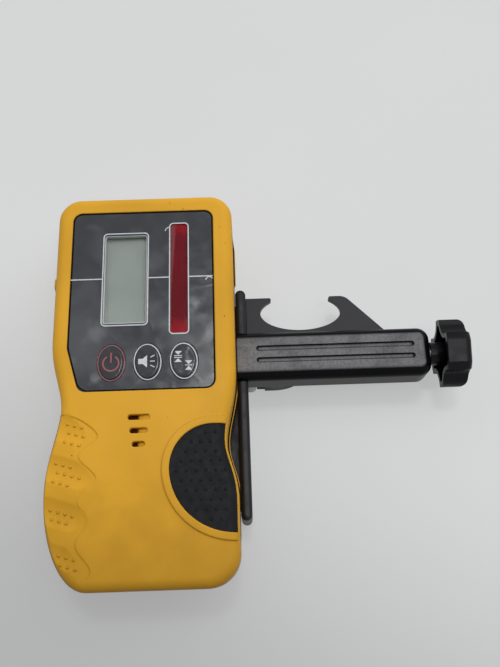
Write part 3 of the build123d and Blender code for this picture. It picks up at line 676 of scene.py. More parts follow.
@dataclass(frozen=True)
class SensorGlass(ClearMoulding):
    """Deep red window with a painted glow at its ends and a painted sheen along one side.

    Its centre and half size are in metres, and places on it are parts of its half size.
    """

    deep: float = 0.85
    centre: tuple[float, float] = (0.0, 0.0)
    half_size: tuple[float, float] = (1.0, 1.0)
    # Painted light: colours for the lit ends and the lit side.
    glow: Colour = (0.42, 0.012, 0.02)
    painted_sheen: Colour = (0.3, 0.075, 0.085)
    ripple: float = 5.0
    ripple_swing: float = 0.05
    ends: Band = (0.72, 0.95)
    ends_share: float = 0.75
    side: Band = (-0.38, -0.62)
    side_share: float = 0.8
    lean: Band = (0.9, -0.4)
    lean_reach: float = 0.45

    def tint(self, paint: Paint) -> Socket:
        """Colour the window by how far a place is from its centre, with painted light at its ends
        and along one side.

        Args:
            paint: The material under way.

        Returns:
            The colour.
        """
        place = {"Location": (*self.centre, 0), "Scale": (*self.half_size, 1)}
        inputs = {"Vector": paint.place["Object"], **place}
        spot = paint.add("Mapping", inputs, vector_type="TEXTURE").outputs[0]
        ripple = paint.around(paint.patches(self.ripple, detail=3), 0.0, self.ripple_swing)
        along = paint.sums("ADD", paint.part(spot, 1), ripple)
        lean = paint.span(along, *self.lean, top=self.lean_reach)
        across = paint.sums("ADD", paint.part(spot, 0), lean)
        ends = paint.span(paint.sums("ABSOLUTE", along), *self.ends, top=self.ends_share)
        side = paint.span(across, *self.side, top=self.side_share)
        # Painted light: the ends are lit towards the glow colour and one side towards the sheen
        # colour.
        return paint.mixed(side, paint.mixed(ends, super().tint(paint), self.glow), self.painted_sheen)


@dataclass(frozen=True)
class PlatedMetal(Finish):
    """Plated or turned metal with fine tool lines round the X axis or along it."""

    lines: tuple[float, float, float] = (1.0, 0.05, 0.05)
    line_width: float = 0.15
    line_rise: float = 0.006
    line_gloss: tuple[float, float] = (-0.08, 0.1)
    stain: float = 5.0
    stain_band: Band = (0.4, 0.7)
    stained: float = 0.78
    edge: float = 0.15

    def mix(self, paint: Paint) -> None:
        """Fill the material's nodes.

        Args:
            paint: The material under way.
        """
        tool = paint.patches(self.line_width, finer=self.lines)
        gloss = (self.roughness + swing for swing in self.line_gloss)
        stain = paint.span(paint.patches(self.stain, detail=4), *self.stain_band)
        paint.coat(
            Base_Color=paint.mixed(stain, self.colour, self.toned(self.stained)),
            Metallic=1.0,
            Roughness=paint.span(tool, *WIDE, *gloss),
            Normal=paint.raised(tool, self.line_rise, paint.rounded(self.edge)[0]),
        )


@dataclass(frozen=True)
class CircuitBoard(Finish):
    """Solder mask with paler tracks running square under it."""

    track: Colour
    track_step: float = 2.5
    track_band: Band = (0.42, 0.5)
    track_rise: float = 0.03
    track_shines: float = 0.08

    def mix(self, paint: Paint) -> None:
        """Fill the material's nodes.

        Args:
            paint: The material under way.
        """
        inputs = {"Vector": paint.place["Object"], "Scale": 1 / (self.track_step * MM)}
        flat = {"distance": "MANHATTAN", "voronoi_dimensions": "2D"}
        maze = paint.add("TexVoronoi", inputs, **flat).outputs["Distance"]
        tracks = paint.span(maze, *self.track_band)
        gloss = (self.roughness, self.roughness - self.track_shines)
        paint.coat(
            Base_Color=paint.mixed(tracks, self.colour, self.track),
            Roughness=paint.span(tracks, 0.0, 1.0, *gloss),
            Normal=paint.raised(tracks, self.track_rise),
        )


@dataclass(frozen=True)
class CellWrap(Finish):
    """Plain two-tone sleeve on a dry cell, with bare metal at the ends."""

    band: Colour
    metal: Colour
    band_y: float = -0.038
    end_band: Band = (0.5, 0.8)
    gloss_patch: float = 3.0
    gloss_swing: float = 0.05

    def mix(self, paint: Paint) -> None:
        """Fill the material's nodes.

        Args:
            paint: The material under way.
        """
        banded = paint.sums("GREATER_THAN", paint.part(paint.place["Object"], 1), self.band_y)
        facing = paint.sums("ABSOLUTE", paint.part(paint.place["Normal"], 1))
        ends = paint.span(facing, *self.end_band)
        gloss = paint.patches(self.gloss_patch)
        paint.coat(
            Base_Color=paint.mixed(ends, paint.mixed(banded, self.colour, self.band), self.metal),
            Metallic=ends,
            Roughness=paint.around(gloss, self.roughness, self.gloss_swing),
        )


@dataclass(frozen=True)
class TableTop(Finish):
    """Pale board with a soft glow that thins shadows, and painted shade in a stripe before one
    corner.

    The near and far sides of the stripe are places in metres along a line over the board.
    """

    glow: float = 0.6
    shine: float = 0.2
    cloud: float = 180.0
    clouded: float = 0.98
    shaded: float = 0.68
    line: tuple[float, float, float] = (0.5, 1.0, 0.0)
    near: Band = (0.03, -0.17)
    far: Band = (-0.7, -0.3)
    gloss_patch: float = 30.0
    gloss_swing: float = 0.05

    def mix(self, paint: Paint) -> None:
        """Fill the material's nodes.

        Args:
            paint: The material under way.
        """
        along = paint.dot(paint.place["Object"], self.line)
        stripe = paint.product(paint.span(along, *self.near), paint.span(along, *self.far))
        board = paint.mixed(paint.clouds(self.cloud), self.toned(self.clouded), self.colour)
        # Painted shade: the stripe darkens the board towards one corner.
        board = paint.mixed(stripe, board, self.toned(self.shaded))
        gloss = paint.patches(self.gloss_patch, detail=4)
        paint.coat(
            Base_Color=board,
            Roughness=paint.around(gloss, self.roughness, self.gloss_swing),
            Specular_IOR_Level=self.shine,
        )
        glow = paint.product(paint.seen(), self.glow)
        lit = paint.add("Emission", {"Color": board}).outputs[0]
        both = paint.add("MixShader", {0: glow, 1: paint.shader.outputs[0], 2: lit})
        paint.feed(paint.tree.nodes["Material Output"].inputs["Surface"], both.outputs[0])


HOUSING_YELLOW = HeelShadedPlastic(
    "housing_yellow",
    (0.7, 0.362, 0.029),
    0.42,
    worn=(0.74, 0.42, 0.06),
    corner_shade=(0.4, 0.175, 0.012),
    shine=0.08,
    edge=1.0,
    crevice=0.6,
    speck_share=0.5,
)
CLAMP_BLACK = MouldedPlastic(
    "clamp_black",
    (0.006, 0.006, 0.0078),
    0.5,
    worn=(0.035, 0.035, 0.038),
    corner_shade=(0.002, 0.002, 0.002),
    shine=0.32,
    grain=0.5,
)
KNOB_BLACK = MouldedPlastic(
    "knob_black",
    (0.005, 0.005, 0.0065),
    0.28,
    worn=(0.04, 0.04, 0.043),
    corner_shade=(0.002, 0.002, 0.002),
    shine=0.14,
    grain=0.5,
)
BEAM_BLACK = ScuffedPlastic(
    "beam_black",
    (0.003, 0.003, 0.004),
    0.24,
    worn=(0.035, 0.035, 0.038),
    corner_shade=(0.001, 0.001, 0.001),
    shine=0.07,
    grain=0.5,
    crevice=1.4,
    packed=0.72,
    haze_and_sheen=(0.182, 0.181, 0.19),
    scratch=(0.24, 0.24, 0.25),
)
PLATE_BLACK = ScuffedPlastic(
    "plate_black",
    (0.006, 0.006, 0.0075),
    0.34,
    worn=(0.06, 0.06, 0.064),
    corner_shade=(0.002, 0.002, 0.002),
    shine=0.22,
    grain=0.5,
    haze_and_sheen=(0.025, 0.025, 0.029),
    scratch=(0.05, 0.05, 0.053),
)
COMPONENT_BLACK = MouldedPlastic(
    "component_black",
    (0.012, 0.012, 0.012),
    0.5,
    worn=(0.04, 0.04, 0.04),
    corner_shade=(0.003, 0.003, 0.003),
    edge=0.2,
)
# Painted shade: the dark brown stands for the shade inside the sounder slots, tinted by the yellow
# walls.
SLOT_SHADE_BROWN = MouldedPlastic(
    "slot_shade_brown",
    (0.05, 0.015, 0.003),
    0.8,
    worn=(0.05, 0.02, 0.006),
    corner_shade=(0.01, 0.003, 0.001),
    shine=0.05,
    edge=0.2,
)
WELL_RED = MouldedPlastic(
    "sensor_well_red",
    (0.5, 0.03, 0.045),
    0.45,
    worn=(0.6, 0.06, 0.07),
    corner_shade=(0.16, 0.01, 0.015),
    edge=0.2,
)
LINING_GREY = MouldedPlastic(
    "lining_grey",
    (0.64, 0.69, 0.65),
    0.5,
    worn=(0.68, 0.72, 0.68),
    corner_shade=(0.34, 0.37, 0.34),
    edge=0.15,
)
GRIP_BLACK = Rubber("grip_black", (0.007, 0.0075, 0.009), 0.6)
SEAL_BLACK = Rubber("seal_black", (0.004, 0.004, 0.004), 0.7)
PAD_GREY = Rubber("pad_grey", (0.015, 0.015, 0.016), 0.65, dust_share=0.3)
PANEL_GREY = PrintedFilm(
    "panel_grey",
    (0.038, 0.04, 0.046),
    0.18,
    bloom=(0.08, 0.082, 0.088),
    highlights=(
        PaintedHighlight(-0.073, 0.02, 0.026, 0.95, (0.082, 0.084, 0.09)),
        PaintedHighlight(-0.0285, 0.0305, 0.0045, 0.9, (0.22, 0.22, 0.23)),
        PaintedHighlight(-0.0698, 0.0195, 0.0065, 0.8, (0.15, 0.152, 0.16)),
        PaintedHighlight(-0.0815, 0.0075, 0.005, 0.7, (0.13, 0.132, 0.14)),
        PaintedHighlight(-0.0685, -0.0012, 0.004, 0.8, (0.17, 0.17, 0.18)),
    ),
    shine=0.32,
)
KEY_GREY = PrintedFilm(
    "key_grey",
    (0.03, 0.032, 0.037),
    0.11,
    bloom=(0.05, 0.052, 0.058),
    swell=6.0,
    swell_rise=0.15,
)
WHITE_INK = Ink("white_ink", (0.6, 0.61, 0.64), 0.4)
RED_INK = Ink("red_ink", (0.29, 0.055, 0.065), 0.4)
# Partly painted shade: the dark band stands for the film's black edge and the shade in the gap
# around it.
EDGE_INK_AND_SHADE = Ink("film_edge_ink_and_shade", (0.004, 0.0035, 0.003), 0.6, shine=0.05)
DISPLAY_GREY = LiquidCrystal("display_grey", (0.54, 0.61, 0.565), 0.35, shade=(0.46, 0.53, 0.485))
LENS_CLEAR = ClearMoulding("lens_clear", (0.85, 0.88, 0.87), 0.05, cover=0.08)
BUMPER_CLEAR = ClearMoulding("bumper_clear", (0.6, 0.6, 0.58), 0.25, cover=0.6, smear=0.15)
ZINC = PlatedMetal("zinc_plate", (0.6, 0.6, 0.58), 0.32)
NICKEL = PlatedMetal("nickel_strip", (0.7, 0.68, 0.64), 0.28, lines=(0.05, 1.0, 1.0))
BRASS = PlatedMetal("turned_brass", (0.72, 0.5, 0.2), 0.3)
BOARD_GREEN = CircuitBoard("board_green", (0.012, 0.1, 0.04), 0.35, track=(0.03, 0.19, 0.08))
CELL_SLEEVE = CellWrap(
    "cell_sleeve", (0.04, 0.042, 0.046), 0.35, band=(0.5, 0.3, 0.12), metal=(0.62, 0.6, 0.57)
)
TABLE_WHITE = TableTop("table_white", (0.695, 0.705, 0.705), 0.5)


# ---------------------------------------------------------------- making pieces


def dress(finish: Finish, *nodes: str) -> None:
    """Give CAD nodes a finish.

    Args:
        finish: The finish.
        *nodes: Names of the nodes.
    """
    for name in nodes:
        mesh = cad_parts[name].data
        mesh.materials.clear()
        mesh.materials.append(finish.material())
        log.info("node %s: %s", name, finish.name)


def stored(bm: BMesh, name: str) -> bpy.types.Mesh:
    """Turn a mesh under way into a stored one.

    Args:
        bm: The mesh, which is used up.
        name: Name of the stored mesh.

    Returns:
        The stored mesh.
    """
    mesh = bpy.data.meshes.new(name)
    bm.to_mesh(mesh)
    bm.free()
    return mesh


def show(name: str, data: bpy.types.ID) -> bpy.types.Object:
    """Put an object in the scene.

    Args:
        name: Name of the object.
        data: Its mesh, lamp or lens.

    Returns:
        The object.
    """
    thing = bpy.data.objects.new(name, data)
    bpy.context.scene.collection.objects.link(thing)
    return thing


def lay(bm: BMesh, name: str, finish: Finish, body: str = ROOT) -> bpy.types.Object:
    """Make a finished mesh into a piece that rides on a body.

    Args:
        bm: The mesh, in place, which is used up.
        name: Name of the piece.
        finish: Its finish.
        body: The body that it rides on.

    Returns:
        The piece.
    """
    bmesh.ops.remove_doubles(bm, verts=bm.verts, dist=1e-7)
    bmesh.ops.recalc_face_normals(bm, faces=bm.faces)
    for face in bm.faces:
        face.smooth = True
    for edge in bm.edges:
        edge.smooth = edge.calc_face_angle(math.pi) < CREASE
    mesh = stored(bm, name)
    mesh.materials.append(finish.material())
    piece = show(name, mesh)
    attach(piece, body)
    log.info("piece %s: %d faces, %s", name, len(mesh.polygons), finish.name)
    return piece


def only(kind: type, geom: Iterable) -> list:
    """The items of one kind in what a mesh operator gives back."""
    return [item for item in geom if isinstance(item, kind)]


def pulled(bm: BMesh, faces: Iterable) -> list[BMVert]:
    """Extrude faces, and give back the new vertices, which are still in their old places."""
    return only(BMVert, bmesh.ops.extrude_face_region(bm, geom=list(faces))["geom"])


def thicken(bm: BMesh, height: float) -> list[BMVert]:
    """Make a flat mesh a solid.

    Args:
        bm: The mesh.
        height: How far its top is raised, in metres.

    Returns:
        The vertices of its top.
    """
    top = pulled(bm, bm.faces)
    bmesh.ops.translate(bm, verts=top, vec=UP * height)
    return top


def trim(bm: BMesh, place: Vector, outward: Vector) -> None:
    """Cut a mesh off and close the cut.

    Args:
        bm: The mesh.
        place: A point on the cut.
        outward: The side that is dropped.
    """
    everything = [*bm.verts, *bm.edges, *bm.faces]
    cut = bmesh.ops.bisect_plane(
        bm, geom=everything, plane_co=place, plane_no=outward, clear_outer=True
    )
    bmesh.ops.edgeloop_fill(bm, edges=only(BMEdge, cut["geom_cut"]))


def middle(node: str) -> Vector:
    """The middle of a CAD node's box."""
    low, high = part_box(node)
    return (low + high) / 2


def extent(node: str) -> Vector:
    """The size of a CAD node's box."""
    low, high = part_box(node)
    return high - low


class Surface:
    """The outside of a CAD node, for laying things on it."""

    def __init__(self, node: str) -> None:
        """Read the node's mesh.

        Args:
            node: Name of the node.
        """
        bm = bmesh.new()
        bm.from_mesh(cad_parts[node].data)
        self.tree = BVHTree.FromBMesh(bm)
        bm.free()

    def below(self, x: float, y: float) -> Optional[Spot]:
        """Find the surface straight below a point.

        Args:
            x: Place along X in metres.
            y: Place along Y in metres.

        Returns:
            The point on the surface and its normal, or None where nothing is below.
        """
        point, normal, *_ = self.tree.ray_cast(Vector((x, y, 1)), -UP)
        return None if point is None else (point, normal)

    def beside(self, y: float, z: float) -> float:
        """Where the surface is along X, looking back from +X at a height z."""
        return self.tree.ray_cast(Vector((1, y, z)), Vector((-1, 0, 0)))[0].x


class Stencil:
    """Flat printed shapes, drawn in millimetres about a centre and then laid on a surface."""

    longest = 0.8
    longest_cuts = 3
    lift = 0.004
    depth = 0.035
    corner_steps = 8
    oval_sides = 72
    arc_steps = 40
    bar_steps = 8
    # A triangle in a circle of radius 1 is 1.732 wide and 1.5 high. This brings both to 2.
    wedge_fit = (2 / math.sqrt(3), 4 / 3)

    def __init__(self, centre: Vector) -> None:
        """Start an empty print about a centre in metres."""
        self.bm = bmesh.new()
        self.centre = centre

    def spot(self, x: float, y: float) -> Vector:
        """A place of the print, in metres."""
        return Vector((self.centre.x + x * MM, self.centre.y + y * MM, 0))

    def place(
        self, verts: Iterable, x: float, y: float, width: float, height: float, turn: float = 0.0
    ) -> None:
        """Size a shape of side 2, turn it and move it.

        Args:
            verts: The shape's vertices.
            x: Its middle along X.
            y: Its middle along Y.
            width: Its width.
            height: Its height.
            turn: Turn to the left in degrees.
        """
        size = Matrix.Diagonal((width / 2 * MM, height / 2 * MM, 1, 1))
        turned = Matrix.Rotation(math.radians(turn), 4, "Z") @ size
        shift = Matrix.Translation(self.spot(x, y))
        bmesh.ops.transform(self.bm, matrix=shift @ turned, verts=list(verts))

    def hollow(self, face: BMFace, line: float) -> None:
        """Leave only a line along the inside of a face's edge.

        Args:
            face: The face.
            line: Width of the line.
        """
        bmesh.ops.inset_region(
            self.bm, faces=[face], thickness=line * MM, use_boundary=True, use_even_offset=True
        )
        bmesh.ops.delete(self.bm, geom=[face], context="FACES")

    def border(self, x: float, width: float, height: float, corner: float, line: float) -> None:
        """Draw a rectangle's outline with rounded corners, level with the centre.

        Args:
            x: Middle along X.
            width: Outside width.
            height: Outside height.
            corner: Outside corner radius.
            line: Width of the line.
        """
        verts = bmesh.ops.create_grid(self.bm, x_segments=1, y_segments=1, size=1)["verts"]
        self.place(verts, x, 0, width, height)
        self.round_corners(verts, corner)
        self.hollow(self.bm.faces[-1], line)

    def round_corners(self, verts: Sequence, corner: float) -> None:
        """Round the corners of a flat face.

        Args:
            verts: The corners.
            corner: Radius of a square corner.
        """
        bmesh.ops.bevel(
            self.bm,
            geom=list(verts),
            offset=corner * MM,
            affect="VERTICES",
            segments=self.corner_steps,
            profile=0.5,
            material=-1,
        )
        self.bm.faces.ensure_lookup_table()

    def oval(self, width: float, height: float, line: float, turn: float) -> None:
        """Draw an oval line about the centre.

        Args:
            width: Outside width.
            height: Outside height.
            line: Width of the line.
            turn: Turn to the left in degrees.
        """
        disc = bmesh.ops.create_circle(
            self.bm, segments=self.oval_sides, radius=1, cap_ends=True
        )
        self.place(disc["verts"], 0, 0, width, height, turn)
        self.bm.faces.ensure_lookup_table()
        self.hollow(self.bm.faces[-1], line)

    def bar(self, x: float, y: float, length: float, line: float, turn: float = 0.0) -> None:
        """Draw a straight line.

        Args:
            x: Middle along X.
            y: Middle along Y.
            length: Its length.
            line: Its width.
            turn: Turn to the left in degrees.
        """
        grid = bmesh.ops.create_grid(self.bm, x_segments=self.bar_steps, y_segments=1, size=1)
        self.place(grid["verts"], x, y, length, line, turn)

    def arc(
        self, x: float, y: float, radius: float, line: float, opening: float, turn: float = 0.0
    ) -> None:
        """Draw a ring that is open at the top before it is turned.

        Args:
            x: Middle along X.
            y: Middle along Y.
            radius: Radius of the line's middle.
            line: Width of the line.
            opening: Angle that is left out, in degrees.
            turn: Turn to the left in degrees.
        """
        hub = self.spot(x, y)
        start = Matrix.Rotation(math.radians(turn + opening / 2), 3, "Z") @ Vector((0, 1, 0))
        reaches = [(radius + side * line / 2) * MM for side in (-1, 1)]
        ends = [self.bm.verts.new(hub + start * reach) for reach in reaches]
        bmesh.ops.spin(
            self.bm,
            geom=[*ends, self.bm.edges.new(ends)],
            cent=hub,
            axis=UP,
            angle=math.radians(360 - opening),
            steps=self.arc_steps,
        )

    def wedge(self, x: float, y: float, width: float, height: float, turn: float) -> None:
        """Draw a solid triangle that points up before it is turned.

        Args:
            x: Middle along X.
            y: A third of its height above its foot, along Y.
            width: Its width.
            height: Its height.
            turn: Turn to the left in degrees.
        """
        triangle = bmesh.ops.create_circle(self.bm, segments=3, radius=1, cap_ends=True)
        across, up = self.wedge_fit
        self.place(triangle["verts"], x, y, width * across, height * up, turn)

    def horn(self, x: float, width: float, height: float, neck: float) -> None:
        """Draw a loudspeaker's body and the flare in front of it, level with the centre.

        Args:
            x: Middle along X.
            width: Its width.
            height: Height of the flare's mouth.
            neck: Height of the body, as a share of the mouth's.
        """
        verts = bmesh.ops.create_grid(self.bm, x_segments=2, y_segments=1, size=1)["verts"]
        for vert in verts:
            vert.co.y *= 1.0 if vert.co.x > 0.5 else neck
        self.place(verts, x, 0, width, height)

    def print_on(
        self, node: str, name: str, ink: Finish, body: str = ROOT
    ) -> bpy.types.Object:
        """Lay the print on a node, with a real thickness.

        Args:
            node: The node that carries it.
            name: Name of the piece.
            ink: Its finish.
            body: The body that it rides on.

        Returns:
            The piece.
        """
        surface = Surface(node)
        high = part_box(node)[1].z
        long = [edge for edge in self.bm.edges if edge.calc_length() > self.longest * MM]
        bmesh.ops.subdivide_edges(self.bm, edges=long, cuts=self.longest_cuts, use_grid_fill=True)
        for vert in self.bm.verts:
            found = surface.below(vert.co.x, vert.co.y)
            vert.co.z = (found[0].z if found else high) + self.lift * MM
        thicken(self.bm, self.depth * MM)
        return lay(self.bm, name, ink, body)


@dataclass(frozen=True)
class Stud:
    """A small raised dot with a flat foot, in millimetres."""

    across: float
    rise: float
    sink: float = 0.12

    def mesh(self) -> bpy.types.Mesh:
        """Shape one dot, standing on the origin.

        Returns:
            The dot.
        """
        bm = bmesh.new()
        bmesh.ops.create_uvsphere(bm, u_segments=12, v_segments=8, radius=1)
        trim(bm, Vector(), -UP)
        radius = self.across / 2 * MM
        size = Matrix.Diagonal((radius, radius, (self.rise + self.sink) * MM, 1))
        foot = Matrix.Translation((0, 0, -self.sink * MM))
        bmesh.ops.transform(bm, matrix=foot @ size, verts=bm.verts)
        return stored(bm, "stud")

    def set_on(self, places: Iterable[Spot]) -> BMesh:
        """Stand dots on a surface.

        Args:
            places: Points on the surface with their normals.

        Returns:
            All the dots as one mesh.
        """
        single = self.mesh()
        bm = bmesh.new()
        for point, normal in places:
            count = len(bm.verts)
            bm.from_mesh(single)
            bm.verts.ensure_lookup_table()
            turn = normal.to_track_quat("Z", "Y").to_matrix().to_4x4()
            place = Matrix.Translation(point) @ turn
            bmesh.ops.transform(bm, matrix=place, verts=bm.verts[count:])
        bpy.data.meshes.remove(single)
        return bm


def cut_out(piece: bpy.types.Object, tool: bpy.types.Object) -> None:
    """Cut one mesh out of another for good.

    Args:
        piece: What is cut.
        tool: What cuts it, which is used up.
    """
    step = piece.modifiers.new("cut", "BOOLEAN")
    step.operation = "DIFFERENCE"
    step.solver = "EXACT"
    step.object = tool
    bpy.context.view_layer.update()
    rough = piece.data
    result = piece.evaluated_get(bpy.context.evaluated_depsgraph_get())
    piece.data = bpy.data.meshes.new_from_object(result)
    piece.data.name = piece.name
    piece.modifiers.clear()
    bpy.data.meshes.remove(rough)
    bpy.data.objects.remove(tool)


# ---------------------------------------------------------------- receiver


@dataclass(frozen=True)
class DotPatch:
    """Where a finger groove's dots start, from the receiver's middle, and how many each row has."""

    x: float
    y: float
    rows: tuple[int, ...]


@dataclass
class Housing:
    """Both halves of the case, their seal, the dots in the finger grooves and the case screws."""

    dot: Stud = Stud(1.6, 0.36)
    dot_step: tuple[float, float] = (2.95, -0.9)
    row_step: tuple[float, float] = (-0.35, -3.5)
    row_stagger: float = 1.1
    steepest: float = 38.0
    patches: tuple[DotPatch, ...] = (
        DotPatch(-29.4, -18.9, (3, 3, 3)),
        DotPatch(-33.4, -34.1, (3, 4, 3)),
        DotPatch(-34.8, -51.9, (4, 3)),
        DotPatch(-30.7, -68.8, (3, 3)),
    )
    screw_inset: float = 7.5
    heel_screw_x: float = 25.0
    heel_screw_up: float = 12.0
    screw_head_r: float = 2.6
    screw_head_t: float = 1.7
    screw_r: float = 1.25
    screw_edge: float = 0.35
    screw_sides: int = 32
    cross_long: float = 3.0
    cross_wide: float = 0.75
    cross_deep: float = 1.1
    cross_proud: float = 0.275
    cross_taper: float = 0.55
    lip_from: float = 68.0
    lip_to: float = -66.0
    lip_steps: int = 110
    lip_fade: float = 7.0
    lip_room: float = 0.25
    lip_root: float = 0.3
    seal_out: float = 0.6
    rear_out: float = 0.9
    rear_lip_t: float = 1.2

    def build(self) -> None:
        """Dress the shells and add the dots, the lips of the joint and the screws."""
        dress(HOUSING_YELLOW, "front_shell", "rear_shell")
        dress(SEAL_BLACK, "housing_seal")
        dots = self.dot.set_on(self.dot_places())
        lay(dots, "finger_dots", HOUSING_YELLOW)
        low, high = (corner.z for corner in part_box("housing_seal"))
        lay(self.lip(low, high, self.seal_out), "seal_lip", SEAL_BLACK)
        rear = self.lip(low - self.rear_lip_t * MM, low, self.rear_out)
        lay(rear, "rear_lip", HOUSING_YELLOW)
        self.screws()

    def lip(self, foot: float, top: float, out: float) -> BMesh:
        """Shape a thin lip on the clamp side, which thins out at its ends and clears the fence.

        Args:
            foot: Height of its underside.
            top: Height of its upper side.
            out: How far it stands out, in millimetres.

        Returns:
            The lip in place.
        """
        shell = Surface("front_shell")
        centre = middle("rear_shell")
        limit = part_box("rear_shell")[1].x + self.lip_room * MM
        fence_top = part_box("side_bracket")[1].y
        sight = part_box("housing_seal")[1].z + self.lip_root * MM
        bm = bmesh.new()
        bmesh.ops.create_grid(bm, x_segments=self.lip_steps, y_segments=1, size=1)
        for vert in bm.verts:
            share = (vert.co.x + 1) / 2
            y = centre.y + (self.lip_from + (self.lip_to - self.lip_from) * share) * MM
            x = shell.beside(y, sight) - self.lip_root * MM
            vert.co = (x, y, top if vert.co.y > 0 else foot)
        ends = (centre.y + self.lip_from * MM, centre.y + self.lip_to * MM)
        for vert in pulled(bm, bm.faces):
            fade = min(1.0, min(abs(vert.co.y - end) for end in ends) / (self.lip_fade * MM))
            vert.co.x += (self.lip_root + out * fade) * MM
            if vert.co.y < fence_top + out * MM:
                vert.co.x = min(vert.co.x, limit)
        return bm

    def dot_places(self) -> list[Spot]:
        """Find where the finger dots stand.

        Returns:
            Points on the front shell with their normals.
        """
        shell = Surface("front_shell")
        centre = middle("rear_shell")
        flattest = math.cos(math.radians(self.steepest))
        found = []
        for patch in self.patches:
            for row, count in enumerate(patch.rows):
                row_x = patch.x + row * self.row_step[0] + row % 2 * self.row_stagger
                row_y = patch.y + row * self.row_step[1]
                for index in range(count):
                    x = row_x + index * self.dot_step[0]
                    y = row_y + index * self.dot_step[1]
                    spot = shell.below(centre.x + x * MM, centre.y + y * MM)
                    if spot and spot[1].z > flattest:
                        found.append(spot)
        return found

    def screws(self) -> None:
        """Model the four case screws with a cross recess in each head."""
        low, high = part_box("rear_shell")
        foot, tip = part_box("case_screws")
        centre = (low + high) / 2
        half = (high.x - low.x) / 2
        upper = (half - self.screw_inset * MM, high.y - self.screw_inset * MM)
        lower = (self.heel_screw_x * MM, low.y + self.heel_screw_up * MM)
        heads, crosses = bmesh.new(), bmesh.new()
        for x, y in (upper, lower):
            for side in (-1, 1):
                spot = Vector((centre.x + side * x, y, foot.z))
                self.screw(heads, spot, tip.z - foot.z)
                self.cross(crosses, spot)
        piece = lay(heads, "case_screw_set", ZINC)
        cut_out(piece, show("crosses", stored(crosses, "crosses")))
        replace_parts(piece, "case_screws")

    def screw(self, bm: BMesh, foot: Vector, length: float) -> None:
        """Add one screw, head down.

        Args:
            bm: The mesh that it joins.
            foot: Middle of the head's outer face.
            length: Height of head and shank together.
        """
        head_t, edge = self.screw_head_t * MM, self.screw_edge * MM
        face_r = self.screw_head_r * MM - edge
        disc = bmesh.ops.create_circle(
            bm, segments=self.screw_sides, radius=face_r, cap_ends=True
        )["verts"]
        bmesh.ops.translate(bm, verts=disc, vec=foot)
        face = disc[0].link_faces[0]
        for rise, radius in (
            (edge, self.screw_head_r),
            (head_t, self.screw_head_r),
            (head_t, self.screw_r),
            (length, self.screw_r),
        ):
            geom = bmesh.ops.extrude_face_region(bm, geom=[face])["geom"]
            if rise != edge:
                bmesh.ops.delete(bm, geom=[face], context="FACES_KEEP_BOUNDARY")
            face = only(BMFace, geom)[0]
            for vert in face.verts:
                flat = (vert.co - foot).to_2d().normalized() * radius * MM
                vert.co = foot + Vector((flat.x, flat.y, rise))

    def cross(self, bm: BMesh, foot: Vector) -> None:
        """Add the tapered cross that a driver fits in, a little proud of the head for a clean cut.

        Args:
            bm: The mesh that it joins.
            foot: Middle of the head's outer face.
        """
        arm, half = self.cross_long / 2 * MM, self.cross_wide / 2 * MM
        verts = bmesh.ops.create_grid(bm, x_segments=3, y_segments=3, size=1)["verts"]
        for vert in verts:
            reach = [math.copysign(arm if abs(part) > 0.5 else half, part) for part in vert.co[:2]]
            vert.co = foot + Vector((*reach, -self.cross_proud * MM))
        corners = [vert for vert in verts if len(vert.link_faces) == 1]
        bmesh.ops.delete(bm, geom=corners, context="VERTS")
        kept = (vert for vert in verts if vert.is_valid)
        for vert in pulled(bm, dict.fromkeys(face for vert in kept for face in vert.link_faces)):
            flat = (vert.co - foot).to_2d() * self.cross_taper
            vert.co = foot + Vector((flat.x, flat.y, self.cross_deep * MM))
        bmesh.ops.recalc_face_normals(bm, faces=bm.faces)


@dataclass(frozen=True)
class ChippedLine:
    """A curl of chipped print: place from an edge and the grade line, radius, opening, turn."""

    x: float
    y: float
    radius: float
    opening: float
    turn: float


